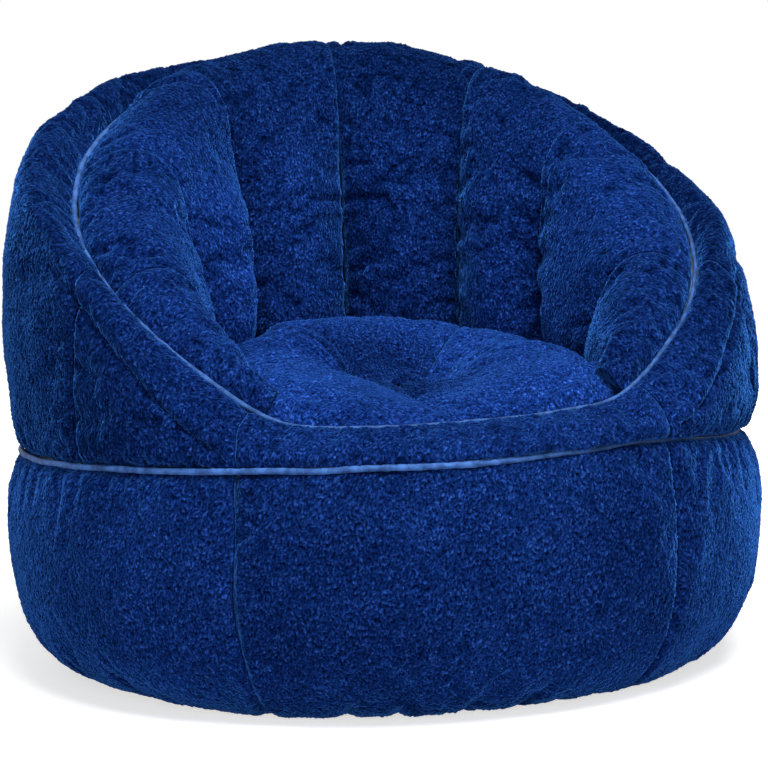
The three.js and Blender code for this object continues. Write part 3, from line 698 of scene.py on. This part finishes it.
def tufts(points, normals, lay):
    """Height of the pile from 0 to 1, and a tint for each tuft.

    Each cell of space roots one tuft, a lying lock of pile that climbs to its tip and rounds off
    there. The highest tuft over a point is the one that shows.
    """
    p = plush()
    side = np.cross(normals, lay)
    base = np.floor(points / p.cell).astype(np.int64)
    height = np.zeros(len(points))
    tint = np.full(len(points), 0.3)
    for corner in np.ndindex(3, 3, 3):
        cell = base + (np.array(corner) - 1)
        root = (cell + np.stack([chance(cell, k) for k in (1, 2, 3)], -1)) * p.cell
        off = points - root
        lift = np.abs((off * normals).sum(-1))
        x = (off * lay).sum(-1)
        y = (off * side).sum(-1)
        turn = chance(cell, 4) - 0.5
        x, y = x * np.cos(turn) + y * np.sin(turn), y * np.cos(turn) - x * np.sin(turn)
        size = p.length * (0.7 + 0.6 * chance(cell, 5))
        along = np.clip(x / size + 0.5, 0, 1)
        tip = np.sqrt(np.clip(1 - ((along - 0.8) / 0.2) ** 2, 0, 1))
        rise = np.where(along < 0.8, (along / 0.8) ** 0.8, tip)
        across = np.sqrt(np.clip(1 - (3.2 * y / size) ** 2, 0, 1))
        near = np.clip(1 - lift / (0.6 * p.cell), 0, 1) ** 0.3
        inside = np.abs(x) < size / 2
        h = rise * across * near * inside * (0.55 + 0.45 * chance(cell, 6))
        taller = h > height
        height = np.where(taller, h, height)
        tint = np.where(taller, chance(cell, 7), tint)
    return height, tint


def sewn_surface(panel, u, v):
    """The panel with its lumps, seams and puckers.

    Gives its points, their normals, their distances from the nearest seam and their places on
    the fabric laid flat.
    """
    p = plush()
    points = panel.grid(u, v)
    outward = points - panel.grid(u, v, panel.depth)
    if panel.moves is not None:
        up = spread(v, panel.sim_v)
        across = spread(u, panel.sim_u)
        points = points + np.einsum("ri,ijk,cj->rck", up, panel.moves, across)
    normal = square_to(points, outward)
    sideways = running_length(points, 1)
    upward = running_length(points, 0)
    seams = [sideways, sideways[:, -1:] - sideways, upward, upward[-1:] - upward]
    nearest = np.minimum.reduce(seams)
    shift = np.zeros(nearest.shape)
    swell = smooth(nearest, 0.0, 0.045)
    shift += p.lump * swell * (waves(points, 0.080, 11) + 0.3 * waves(points, 0.034, 12))
    # the fabric dips along each seam, and gathers beside it
    borders = [points[:, :1], points[:, -1:], points[:1], points[-1:]]
    for distance, border, deep in zip(seams, borders, panel.dips):
        gather = waves(border, 0.011, 13) + 0.6 * waves(border, 0.006, 14)
        beside = np.exp(-distance / 0.013) * smooth(distance, 0, 0.004)
        seam = p.pucker * deep / 0.004 * gather * beside
        seam -= deep * (1 + 0.5 * waves(border, 0.030, 15)) * hill(distance, 0, 0.007)
        if panel.fade is not None and border.shape[1] == 1:
            seam *= panel.fade(v)[:, None]
        shift += seam
    if panel.lift is not None:
        shift += panel.lift(*np.meshgrid(u, v))
    points = points + normal * shift[..., None]
    cloth = np.stack([sideways, upward, 0 * upward], -1)
    return points, square_to(points, outward), nearest, cloth


def breaks(points, cloth):
    """1 in the short dark breaks where the pile parts, which run across its lay in places."""
    wander = np.stack([waves(points, 0.020, 51), waves(points, 0.020, 52), 0 * points[:, 0]], -1)
    along = (cloth + 0.0045 * wander) * np.array([0.6, 1.0, 1.0])
    line = smooth(1 - np.abs(waves(along, 0.0055, 53)), 0.70, 1.0)
    return line * smooth(waves(points, 0.010, 54) + 0.5 * waves(points, 0.060, 55), -0.15, 0.50)


def pile_up(panel, points, normal, nearest, cloth):
    """Stands the pile on the panel. It lies down the walls and towards the front of the seat."""
    p = plush()
    flat = points.reshape(-1, 3)
    square = normal.reshape(-1, 3)
    lean = np.tile(np.array([0.2, -0.35, -1.0]), (len(flat), 1))
    lean[:, 0] += 0.5 * waves(flat, 0.06, 21)
    lean[:, 1] += 0.5 * waves(flat, 0.06, 22)
    lay = unit(lean - (lean * square).sum(-1, keepdims=True) * square)
    height, tint = tufts(flat, square, lay)
    from_seam = smooth(nearest.reshape(-1), 0.0, 0.0014)
    part = panel.parted * breaks(flat, cloth.reshape(-1, 3))
    rise = p.height * lerp(0.3, height * (1 - 0.3 * part), from_seam)
    # the pile's colour: painted shade in the breaks and along the seams
    height = height * (1 - part) * lerp(0.3, 1, from_seam)
    # the points of the grid are shifted a little so that no rows show in the pile
    jitter = np.stack([chance(np.floor(flat * 3e5), k) for k in (31, 32, 33)], -1) - 0.5
    jitter -= (jitter * square).sum(-1, keepdims=True) * square
    inside = smooth(nearest.reshape(-1), 0.0005, 0.003)[:, None]
    sideways = (lay * 0.5 * rise[:, None] + jitter * 0.55 * panel.spacing) * inside
    moved = flat + square * rise[:, None] + sideways
    moved[:, 2] = np.maximum(moved[:, 2], 0.0002)
    return moved.reshape(points.shape), height, tint


def closed_tube(surface):
    """A mesh through these rows of points, each of which ends where it begins."""
    surface[:, -1] = surface[:, 0]
    bm = bmesh.new()
    grid_mesh(bm, surface)
    bmesh.ops.remove_doubles(bm, verts=bm.verts, dist=1e-6)
    bmesh.ops.holes_fill(bm, edges=[edge for edge in bm.edges if edge.is_boundary])
    return bm


def finished_piece(bm, name, finish, node):
    """Makes a closed mesh into a padded piece that rides on the chair and stands for its node."""
    bmesh.ops.recalc_face_normals(bm, faces=bm.faces)
    mesh = bpy.data.meshes.new(name)
    bm.to_mesh(mesh)
    bm.free()
    mesh.shade_smooth()
    mesh.materials.append(finish)
    obj = bpy.data.objects.new(name, mesh)
    bpy.context.scene.collection.objects.link(obj)
    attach(obj, CHAIR)
    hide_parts(node)
    return mesh


def keep_values(mesh, name, values):
    data = np.asarray(values, dtype=np.float32)
    mesh.attributes.new(name, "FLOAT", "POINT").data.foreach_set("value", data)


def build_panel(panel, finish, node):
    """Makes one panel as a closed padded piece: its plush and a plain hidden side."""
    u, v = panel.even_steps(panel.spacing, unseen=0.4)
    points, normal, nearest, cloth = sewn_surface(panel, u, v)
    moved, height, tint = pile_up(panel, points, normal, nearest, cloth)
    back_u, back_v = np.linspace(0, 1, 9), np.linspace(0, 1, 13)
    back = panel.grid(back_u, back_v, panel.depth)
    bm = bmesh.new()
    grid_mesh(bm, moved)
    front_edges = [edge for edge in bm.edges if edge.is_boundary]
    known = set(front_edges)
    grid_mesh(bm, back)
    back_edges = [edge for edge in bm.edges if edge.is_boundary and edge not in known]
    bmesh.ops.bridge_loops(bm, edges=front_edges + back_edges)
    mesh = finished_piece(bm, panel.name, finish, node)
    behind = back.shape[0] * back.shape[1]
    across, up = np.meshgrid(u, v)
    painted_shading = (panel.painted_shading(across, up) if panel.painted_shading else 1 + 0 * up).ravel()
    for name, values, rest in (("pile", height, 0.2), ("tint", tint, 0.5), ("painted_shading", painted_shading, 1.0)):
        keep_values(mesh, name, np.concatenate([values, np.full(behind, rest)]))
    places = np.concatenate([cloth.reshape(-1, 3), back.reshape(-1, 3)]).astype(np.float32)
    flat = mesh.attributes.new("cloth", "FLOAT_VECTOR", "POINT")
    flat.data.foreach_set("vector", places.ravel())
    add_flat_map(mesh, points, u, v, back_u, back_v)


def add_flat_map(mesh, points, u, v, back_u, back_v):
    """Lays the panel out flat in its own map, with its hidden side small beside it."""
    width = running_length(points, 1)[:, -1].max()
    length = running_length(points, 0)[-1].max()
    scale = 0.94 / max(width + 0.02, length)
    across, up = np.meshgrid(u * width * scale + 0.01, v * length * scale + 0.01)
    front = np.stack([across.ravel(), up.ravel()], -1)
    across, up = np.meshgrid(back_u * 0.02, back_v * 0.04)
    back = np.stack([across.ravel() + width * scale + 0.03, up.ravel() + 0.01], -1)
    places = np.concatenate([front, back])
    count = len(mesh.loops)
    corner = np.empty(count, dtype=np.int32)
    mesh.loops.foreach_get("vertex_index", corner)
    layer = mesh.uv_layers.new(name="OFBake")
    layer.uv.foreach_set("vector", places[corner].astype(np.float32).ravel())


# ---------------------------------------------------------------- materials

def set_inputs(node, values):
    for name, value in values.items():
        node.inputs[name].default_value = value
    return node


def material(name, values):
    """A new material with these values on its shader's own sockets."""
    made = bpy.data.materials.new(name)
    made.use_nodes = True
    tree = made.node_tree
    return made, tree, set_inputs(tree.nodes["Principled BSDF"], values)


def attribute(tree, name):
    node = tree.nodes.new("ShaderNodeAttribute")
    node.attribute_name = name
    return node.outputs


def ramp(tree, source, *stops):
    """Colour that runs through these stops as the source goes from 0 to 1."""
    node = tree.nodes.new("ShaderNodeValToRGB")
    points = node.color_ramp.elements
    while len(points) < len(stops):
        points.new(0.5)
    for point, (place, colour) in zip(points, stops):
        point.position = place
        point.color = (*colour, 1)
    tree.links.new(source, node.inputs["Fac"])
    return node.outputs["Color"]


def noise(tree, scale, detail, stretch=(1, 1, 1), roughness=0.6, where=None):
    """Noise in the piece's own coordinates, or in those of the socket given, in metres."""
    if where is None:
        where = tree.nodes.new("ShaderNodeTexCoord").outputs["Object"]
    turn = set_inputs(tree.nodes.new("ShaderNodeMapping"), {"Scale": stretch})
    node = set_inputs(tree.nodes.new("ShaderNodeTexNoise"),
                      {"Scale": scale, "Detail": detail, "Roughness": roughness})
    tree.links.new(where, turn.inputs["Vector"])
    tree.links.new(turn.outputs["Vector"], node.inputs["Vector"])
    return node.outputs["Fac"]


def math_node(tree, operation, first, second):
    """One sum on two values, each a socket or a number."""
    node = tree.nodes.new("ShaderNodeMath")
    node.operation = operation
    for socket, value in zip(node.inputs, (first, second)):
        if isinstance(value, bpy.types.NodeSocket):
            tree.links.new(value, socket)
        else:
            socket.default_value = value
    return node.outputs[0]


def multiply(tree, first, *others):
    """The product of these colours."""
    for other in others:
        mix = tree.nodes.new("ShaderNodeMix")
        mix.data_type = "RGBA"
        mix.blend_type = "MULTIPLY"
        mix.inputs["Factor"].default_value = 1.0
        tree.links.new(first, mix.inputs[6])
        tree.links.new(other, mix.inputs[7])
        first = mix.outputs[2]
    return first


def bump(tree, shader, height, strength, distance):
    node = tree.nodes.new("ShaderNodeBump")
    set_inputs(node, {"Strength": strength, "Distance": distance})
    tree.links.new(height, node.inputs["Height"])
    tree.links.new(node.outputs["Normal"], shader.inputs["Normal"])


def tinted(colour, share):
    return [share * c for c in colour]


def plush_material(name, tone=1.0):
    """Short curly pile: painted shade between the tufts, bright at their tips, with fine flecks.
    """
    p = plush()
    made, tree, shader = material(name, {
        "Roughness": 0.9, "Specular IOR Level": 0.0, "Sheen Weight": 1.0, "Sheen Roughness": 0.27,
        "Sheen Tint": (0.06, 0.29, 1.0, 1)})
    shade = math_node(tree, "MULTIPLY", attribute(tree, "tint")["Fac"], 0.15)
    level = math_node(tree, "ADD", attribute(tree, "pile")["Fac"], shade)
    level = math_node(tree, "SUBTRACT", level, 0.07)
    # a tone below 1 gives a darker copy of the plush: painted shade
    colour = ramp(tree, level, (0.10, tinted(p.root, tone)), (0.55, tinted(p.body, tone)),
                  (0.95, tinted(p.tip, tone)))
    fleck = noise(tree, 480, 2, (1, 0.6, 1), 0.7, attribute(tree, "cloth")["Vector"])
    contrast = ramp(tree, fleck, (0.36, (0.22, 0.22, 0.26)), (0.64, (1.4, 1.4, 1.32)))
    tone_and_painted_shading = ramp(tree, noise(tree, 8, 2), (0.35, (0.80, 0.80, 0.82)), (0.65, (1.2, 1.2, 1.16)))
    # the painted_shading attribute scales the colour with painted light and shade
    final = multiply(tree, colour, contrast, tone_and_painted_shading, attribute(tree, "painted_shading")["Color"])
    tree.links.new(final, shader.inputs["Base Color"])
    bump(tree, shader, fleck, 0.6, 0.002)
    return made


def satin_material():
    """Satin ribbon over a cord, worn in places."""
    satin = plush().satin
    made, tree, shader = material("blue_satin", {
        "Roughness": 0.5, "Specular IOR Level": 0.2, "Specular Tint": (0.3, 0.55, 1, 1)})
    weave = noise(tree, 900, 2)
    colour = ramp(tree, weave, (0.3, tinted(satin, 0.75)), (0.7, tinted(satin, 1.25)))
    worn = ramp(tree, noise(tree, 75, 3), (0.38, (0.50, 0.52, 0.56)), (0.62, (1.25, 1.25, 1.25)))
    # the painted_shading attribute darkens the piping with painted shade
    final = multiply(tree, colour, worn, attribute(tree, "painted_shading")["Color"])
    tree.links.new(final, shader.inputs["Base Color"])
    bump(tree, shader, weave, 0.4, 0.0006)
    return made


def plain_material(name, light, dark, scale, rough, metallic=0.0, raised=0.3, stretch=(1, 1, 1),
                   specular=0.5):
    """A finish with a fine grain, for the pieces inside the chair and its zips."""
    made, tree, shader = material(
        name, {"Roughness": rough, "Metallic": metallic, "Specular IOR Level": specular})
    grain = noise(tree, scale, 3, stretch)
    tree.links.new(ramp(tree, grain, (0.35, dark), (0.65, light)), shader.inputs["Base Color"])
    bump(tree, shader, grain, raised, 0.0006)
    return made


def bead_material():
    return plain_material("bead_fill", (0.86, 0.86, 0.85), (0.6, 0.6, 0.6), 260, 0.7, raised=0.9)


def finish_named(name, make):
    """The finish with this name, made the first time that a piece asks for it."""
    return bpy.data.materials.get(name) or make()


def main_plush():
    """The plush of every panel but the ones underneath, which get a darker copy as painted shade.
    """
    return finish_named("royal_plush", lambda: plush_material("royal_plush"))


# ---------------------------------------------------------------- operators

def spacing_of(name):
    """The panels at the back have a wider mesh."""
    return plush().back_spacing if "back" in name else plush().spacing


def build_panels(panels, cap):
    """Settles panels that are sewn together, and builds each for the node that it stands for."""
    settle(list(panels.values()), cap)
    for node, panel in panels.items():
        build_panel(panel, main_plush(), node)
    return {"FINISHED"}


class TUBCHAIR_OT_base_panels(Operator):
    """Build the five plush panels round the base"""
    bl_idname = "tubchair.base_panels"
    bl_label = "Base panels"

    def execute(self, context):
        half = sizes().front_half_angle
        rest = (360 - 2 * half) / 4
        seams = [-half] + [half + k * rest for k in range(5)]
        names = ["front", "right", "back_right", "back_left", "left"]
        slack = math.degrees(SLACK / sizes().foot_radius)
        panels = {}
        for name, start, end in zip(names, seams, seams[1:]):
            def place(u, v, depth, start=start + slack, end=end - slack):
                return drum_point(lerp(start, end, u), v, depth, seam_pull(u))

            def painted_shading(u, v, start=start, end=end):
                # painted light: lighter round the sides and back than on the front panel
                return 0.93 + 0.2 * smooth(np.abs(lerp(start, end, u)), 33, 60) + 0 * v

            panels[f"base_panel_{name}"] = FabricPanel(
                f"plush_base_{name}", place, sizes().fabric, spacing_of(name),
                unseen_below=0.012, painted_shading=painted_shading, parted=0.25)
        return build_panels(panels, 0.024)


class TUBCHAIR_OT_outer_panels(Operator):
    """Build the apron, the arm panels and the back panels"""
    bl_idname = "tubchair.outer_panels"
    bl_label = "Outer wall"

    def execute(self, context):
        half = sizes().front_half_angle
        slack = math.degrees(SLACK / sizes().rim_back_radius)
        spans = {"front_apron": (-half, half)}
        for name, side in (("left", -1), ("right", 1)):
            for part, start, end in (("arm_front_panel", half, 62), ("arm_side_panel", 62, 121),
                                     ("back_panel", 121, 180)):
                spans[f"{part}_{name}"] = sorted((side * start, side * end))
        panels = {}
        for node, (start, end) in spans.items():
            def place(u, v, depth, start=start + slack, end=end - slack):
                return outer_point(lerp(start, end, u), v, depth, seam_pull(u))

            def lift(u, v, start=start, end=end):
                return folded(lerp(start, end, u), v)

            def painted_shading(u, v, start=start, end=end):
                angle = lerp(start, end, u)
                # painted light on the apron, painted shade on the sides, most on the right, and
                # near the top at the back
                tone_and_painted_shading = lerp(1.1, 0.55, smooth(angle, 34, 60))
                tone_and_painted_shading = tone_and_painted_shading * lerp(1, 0.65, smooth(-angle, 34, 60))
                return tone_and_painted_shading * (1 - 0.15 * smooth(np.abs(angle), 80, 120) * smooth(v, 0.6, 0.9))

            panels[node] = FabricPanel(
                f"plush_{node}", place, sizes().fabric, spacing_of(node), lift=lift, painted_shading=painted_shading)
        return build_panels(panels, 0.026)


class TUBCHAIR_OT_channels(Operator):
    """Build the eight padded channels inside the tub"""
    bl_idname = "tubchair.channels"
    bl_label = "Tub channels"

    def execute(self, context):
        s = sizes()
        slack = SLACK / (s.tub_radius * math.radians(s.channel_angle))
        # painted light and shade, a share for each channel
        tone_and_painted_shading = [1.1, 1.1, 1.5, 1.05, 0.95, 1.15, 1.2, 0.9]
        panels = {}
        for index in range(CHANNELS):
            def place(u, v, depth, index=index):
                c = lerp(index + slack, index + 1 - slack, u)
                # the wall thins out to its two ends, where it is sewn in behind the front rim
                depth = depth * (1 - 0.88 * smooth(np.abs(c - CHANNELS / 2), 3.75, 4))
                away = np.where(depth > 0, -depth, channel_puff(c, v))
                return wall_point(c, v) + wall_normal(c, v) * away[..., None]

            def painted_shading(u, v, index=index):
                # painted shade: the crown is darker at the back, and each channel's lower half
                # darker towards its seams
                at_back = 1 - smooth(np.abs(index + u - CHANNELS / 2), 1.4, 2.4)
                valley = lerp(lerp(0.72, 1.12, crowned(u, 0.7)), 1, smooth(v, 0.40, 0.65))
                return tone_and_painted_shading[index] * valley * (1 - 0.45 * at_back * smooth(v, 0.35, 0.85))

            panels[f"tub_channel_{index + 1}"] = FabricPanel(
                f"plush_channel_{index + 1}", place, CHANNEL_DEPTH, plush().spacing, side=0.004,
                unseen_below=0.290, fade=lambda v: 1 - 0.95 * smooth(v, 0.4, 0.65),
                painted_shading=painted_shading, parted=0.6)
        return build_panels(panels, 0.022)


class TUBCHAIR_OT_seat(Operator):
    """Build the five wedges of the seat cushion"""
    bl_idname = "tubchair.seat"
    bl_label = "Seat cushion"

    def execute(self, context):
        reaches = seat_reaches()
        width = 360 / WEDGES
        gap = 0.02  # degrees between a wedge and the middle of its seam
        names = ["front_right", "right", "back", "left", "front_left"]
        panels = {}
        for index, name in enumerate(names):
            def place(u, v, depth, index=index):
                angle = lerp(index * width + gap, (index + 1) * width - gap, u)
                return seat_point(angle, v, depth, reaches)

            def painted_shading(u, v, far=0.2 * (name == "back")):
                # painted shade inside the bowl, and painted light towards the cushion's edge
                return lerp(0.85, 1.75, smooth(v, 0.12 + far, 0.50 + far)) + 0 * u

            panels[f"seat_wedge_{name}"] = FabricPanel(
                f"plush_seat_{name}", place, WEDGE_DEPTH, plush().spacing, side=0.002, painted_shading=painted_shading,
                parted=0.4)
        build_panels(panels, 0.018)
        seat_stuffing(reaches)
        return {"FINISHED"}


def seat_stuffing(reaches):
    """Builds the stuffing that fills the cushion from the deck to the underside of its wedges."""
    angle = np.linspace(0, 360, 145)
    rings = [seat_point(angle, np.full_like(angle, share), STUFFING_DEPTH, reaches)
             for share in np.linspace(0.03, 0.93, 24)]
    floor = sizes().deck_height + 0.0012
    inner, outer = rings[0].copy(), rings[-1].copy()
    inner[:, 2] = outer[:, 2] = floor
    surface = np.array([inner, *rings, outer, inner])
    surface[..., 2] = np.maximum(surface[..., 2], floor)
    finish = finish_named("bead_fill", bead_material)
    finished_piece(closed_tube(surface), "stuffing_seat", finish, "seat_fill")


class TUBCHAIR_OT_bottom_panels(Operator):
    """Build the two plush panels under the base, in a darker copy as painted shade, with the slot
    for the zip
    """
    bl_idname = "tubchair.bottom_panels"
    bl_label = "Bottom panels"

    def execute(self, context):
        # a darker copy of the plush, painted shade for the underside
        finish = finish_named("shaded_plush", lambda: plush_material("shaded_plush", 0.8))
        slot_end = abs(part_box("cover_zip_bottom_stop")[0].x) + 0.009
        half_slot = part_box("cover_zip_slider")[1].y + 0.001
        for name, side in (("front", -1), ("back", 1)):
            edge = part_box(f"bottom_panel_{name}")[1]
            radius = edge.x

            def place(u, v, depth, side=side, radius=radius, top=edge.z):
                x = -side * radius * np.sin(np.pi / 2 * (2 * u - 1)) * 0.9995
                inner = lerp(half_slot, 0.0002, smooth(np.abs(x), slot_end, slot_end + 0.003))
                outer = np.maximum(np.sqrt(np.maximum(radius**2 - x**2, 0)), inner + 0.0006)
                z = np.where(depth > 0, top, 0.0006)
                return np.stack([x, side * lerp(inner, outer, v), z], -1)

            panel = FabricPanel(
                f"plush_bottom_{name}", place, sizes().fabric, 0.0045, side=0, low=0, high=0,
                lift=lambda u, v: 0 * u - 0.0012)
            build_panel(panel, finish, f"bottom_panel_{name}")
        return {"FINISHED"}


class TUBCHAIR_OT_piping(Operator):
    """Build the satin piping on the base seam and round the rim"""
    bl_idname = "tubchair.piping"
    bl_label = "Piping"

    def execute(self, context):
        finish = finish_named("blue_satin", satin_material)
        # painted shadow on the base piping where it is tucked on the right, and painted shade on
        # the rim piping everywhere but along the left
        piping_tube("base_piping", finish, base_piping_line, lambda a: 0.0011 + 0.0009 * tucked(a),
                    lambda a: 1 - 0.62 * tucked(a))
        piping_tube("rim_piping", finish, rim_piping_line, rim_piping_thinning,
                    lambda a: 1 - 0.15 * smooth(a, -45, -25))
        return {"FINISHED"}


def base_piping_line(angle):
    return at_angle(sizes().seam_radius - TUCK * tucked(angle), angle, seam_height(angle))


def rim_piping_line(angle):
    """The rim, a little lower at the front, where the seat presses on it."""
    return rim_point(angle) - UP * (0.002 * (1 - smooth(np.abs(angle), 22, 34)))[:, None]


def rim_piping_thinning(angle):
    return 0.0010 + 0.0010 * smooth(angle, -45, -25) * (1 - smooth(angle, 120, 175))


def piping_tube(node, finish, ring, thinning, painted_shading):
    """A wrinkled satin tube along this ring.

    thinning is how far it is pressed together and hidden by the pile beside it, and
    painted_shading the painted shade on its colour, both for an angle round the chair.
    """
    step = 0.0018
    angle = np.linspace(-179.9, 179.9, 1500)
    length = running_length(ring(angle)[None], 1)[0]
    even = np.interp(np.linspace(0, length[-1], int(length[-1] / step)), length, angle)
    line = ring(even)
    wobble = [waves(line, size, salt) for size, salt in ((0.035, 44), (0.035, 45), (0.045, 46))]
    line = line + 0.0011 * np.stack(wobble, -1)
    ahead = unit(np.gradient(line, axis=0))
    out = at_angle(1.0, even, 0.0)
    out = unit(out - (out * ahead).sum(-1, keepdims=True) * ahead)
    up = np.cross(ahead, out)
    sides = 14
    turn = np.linspace(0, 2 * np.pi, sides + 1)[:, None]
    around = out[:, None] * np.cos(turn) + up[:, None] * np.sin(turn)
    radius = (sizes().piping_radius - thinning(even))[:, None]
    ripple = 0.00030 * waves(line, 0.007, 41) + 0.00022 * waves(line, 0.0035, 42)
    fold = waves(line[:, None] + around * radius[..., None], 0.0045, 43) * 0.00025
    surface = line[:, None] + around * (radius + ripple[:, None] + fold)[..., None]
    mesh = finished_piece(closed_tube(surface), f"satin_{node}", finish, node)
    places = np.array([vert.co for vert in mesh.vertices])
    keep_values(mesh, "painted_shading", painted_shading(np.degrees(np.arctan2(places[:, 0], -places[:, 1]))))


class TUBCHAIR_OT_inside(Operator):
    """Give the zips, the liner, the deck and the fill their finishes"""
    bl_idname = "tubchair.inside"
    bl_label = "Zips and inside"

    def execute(self, context):
        finishes = {
            "lining": plain_material(
                "lining", (0.80, 0.79, 0.75), (0.62, 0.61, 0.57), 700, 0.85, raised=0.5),
            "bead_fill": finish_named("bead_fill", bead_material),
            "zip_tape": plain_material(
                "zip_tape", (0.012, 0.035, 0.15), (0.006, 0.018, 0.09), 900, 0.8, raised=0.6,
                stretch=(1, 0.3, 1)),
            "zip_coil": plain_material(
                "zip_coil", (0.010, 0.028, 0.12), (0.007, 0.02, 0.09), 300, 0.4, raised=0.1),
            "zip_metal": plain_material(
                "zip_metal", (0.62, 0.62, 0.60), (0.50, 0.50, 0.49), 500, 0.28, 1.0, raised=0.1,
                stretch=(0.2, 1, 1)),
        }
        tuft = plain_material(
            "tuft_plush", plush().body, plush().root, 480, 0.9, raised=0.9, specular=0.0)
        for part in frame["record"]["subparts"]:
            obj = frame["nodes"][part["node"]]
            finish = finishes.get(part["material_slot"])
            if part["node"] == "seat_tuft_tie":
                finish = tuft
            if finish:
                if not obj.material_slots:
                    obj.data.materials.append(finish)
                for slot in obj.material_slots:
                    slot.material = finish
        return {"FINISHED"}


class TUBCHAIR_OT_studio(Operator):
    """Set up the floor, the lights and the camera"""
    bl_idname = "tubchair.studio"
    bl_label = "Studio"

    def execute(self, context):
        scene = context.scene
        s = scene.tub_studio
        bm = bmesh.new()
        bmesh.ops.create_grid(bm, x_segments=4, y_segments=4, size=6)
        mesh = bpy.data.meshes.new("floor")
        bm.to_mesh(mesh)
        bm.free()
        floor = bpy.data.objects.new("floor", mesh)
        scene.collection.objects.link(floor)
        mesh.materials.append(floor_material())
        add_light("key", (0.1, -1.5, 2.6), 1.6, s.key)
        add_light("fill", (-0.7, -3.0, 0.9), 2.0, s.fill)
        add_light("behind", (0.5, 3.2, 0.7), 2.0, s.behind)
        light_surroundings(scene, s.sky)
        add_camera(scene, s)
        scene.view_settings.view_transform = "Standard"
        return {"FINISHED"}


def map_range(tree, source, values):
    node = set_inputs(tree.nodes.new("ShaderNodeMapRange"), values)
    tree.links.new(source, node.inputs["Value"])
    return node.outputs["Result"]


def floor_material():
    """A plain pale floor that brightens to white away from the chair."""
    made, tree, shader = material("floor", {
        "Base Color": (0.85, 0.85, 0.86, 1), "Roughness": 0.9, "Specular IOR Level": 0.1,
        "Emission Color": (1, 1, 1, 1)})
    away = tree.nodes.new("ShaderNodeVectorMath")
    away.operation = "LENGTH"
    tree.links.new(tree.nodes.new("ShaderNodeTexCoord").outputs["Object"], away.inputs[0])
    fading = map_range(tree, away.outputs["Value"],
                       {"From Min": 0.5, "From Max": 1.6, "To Min": 0.66, "To Max": 1.0})
    seen = tree.nodes.new("ShaderNodeLightPath").outputs["Is Camera Ray"]
    tree.links.new(math_node(tree, "MULTIPLY", seen, fading), shader.inputs["Emission Strength"])
    return made


def add_light(name, place, size, power):
    lamp = bpy.data.lights.new(name, "AREA")
    lamp.shape = "DISK"
    lamp.size = size
    lamp.energy = power
    obj = bpy.data.objects.new(name, lamp)
    bpy.context.scene.collection.objects.link(obj)
    aim = Vector((0, 0, 0.3)) - Vector(place)
    turn = aim.to_track_quat("-Z", "Y").to_matrix().to_4x4()
    obj.matrix_world = Matrix.Translation(place) @ turn


def light_surroundings(scene, strength):
    """White where it is seen, directly or in a gloss, and this strong as a light."""
    world = bpy.data.worlds.new("surroundings")
    world.use_nodes = True
    scene.world = world
    tree = world.node_tree
    background = set_inputs(tree.nodes["Background"], {"Color": (1, 1, 1, 1)})
    path = tree.nodes.new("ShaderNodeLightPath").outputs
    seen = math_node(tree, "MAXIMUM", path["Is Camera Ray"], path["Is Glossy Ray"])
    level = map_range(tree, seen, {"To Min": strength, "To Max": 1.0})
    tree.links.new(level, background.inputs["Strength"])


def add_camera(scene, s):
    camera = bpy.data.cameras.new("camera")
    camera.lens = s.lens
    camera.shift_x = s.shift_x
    camera.shift_y = s.shift_y
    camera.clip_end = 50
    obj = bpy.data.objects.new("camera", camera)
    scene.collection.objects.link(obj)
    turn, lift = math.radians(s.azimuth), math.radians(s.elevation)
    level = Vector((-math.sin(turn), -math.cos(turn), 0))
    away = level * math.cos(lift) + Vector((0, 0, math.sin(lift)))
    target = Vector((0, 0, s.target_height))
    facing = (-away).to_track_quat("-Z", "Y").to_matrix().to_4x4()
    obj.matrix_world = (Matrix.Translation(target + away * s.distance) @ facing
                        @ Matrix.Rotation(math.radians(s.roll), 4, "Z"))
    scene.camera = obj


class TUBCHAIR_PT_panel(Panel):
    """The chair's pieces and the sizes that shape them"""
    bl_label = "Tub Chair"
    bl_space_type = "VIEW_3D"
    bl_region_type = "UI"
    bl_category = "Tub Chair"

    def draw(self, context):
        layout = self.layout
        for operator in OPERATORS:
            layout.operator(operator.bl_idname)
        for group in (context.scene.tub_sizes, context.scene.tub_plush, context.scene.tub_studio):
            box = layout.box()
            for name in group.__annotations__:
                box.prop(group, name)


OPERATORS = (
    TUBCHAIR_OT_base_panels,
    TUBCHAIR_OT_outer_panels,
    TUBCHAIR_OT_channels,
    TUBCHAIR_OT_seat,
    TUBCHAIR_OT_bottom_panels,
    TUBCHAIR_OT_piping,
    TUBCHAIR_OT_inside,
    TUBCHAIR_OT_studio,
)
CLASSES = (ChairSizes, PlushSettings, StudioSettings, *OPERATORS, TUBCHAIR_PT_panel)


def register():
    for cls in CLASSES:
        bpy.utils.register_class(cls)
    bpy.types.Scene.tub_sizes = PointerProperty(type=ChairSizes)
    bpy.types.Scene.tub_plush = PointerProperty(type=PlushSettings)
    bpy.types.Scene.tub_studio = PointerProperty(type=StudioSettings)


def unregister():
    del bpy.types.Scene.tub_studio
    del bpy.types.Scene.tub_plush
    del bpy.types.Scene.tub_sizes
    for cls in reversed(CLASSES):
        bpy.utils.unregister_class(cls)


def main():
    register()
    for operator in OPERATORS:
        getattr(bpy.ops.tubchair, operator.bl_idname.split(".")[1])()


if __name__ == "__main__":
    main()
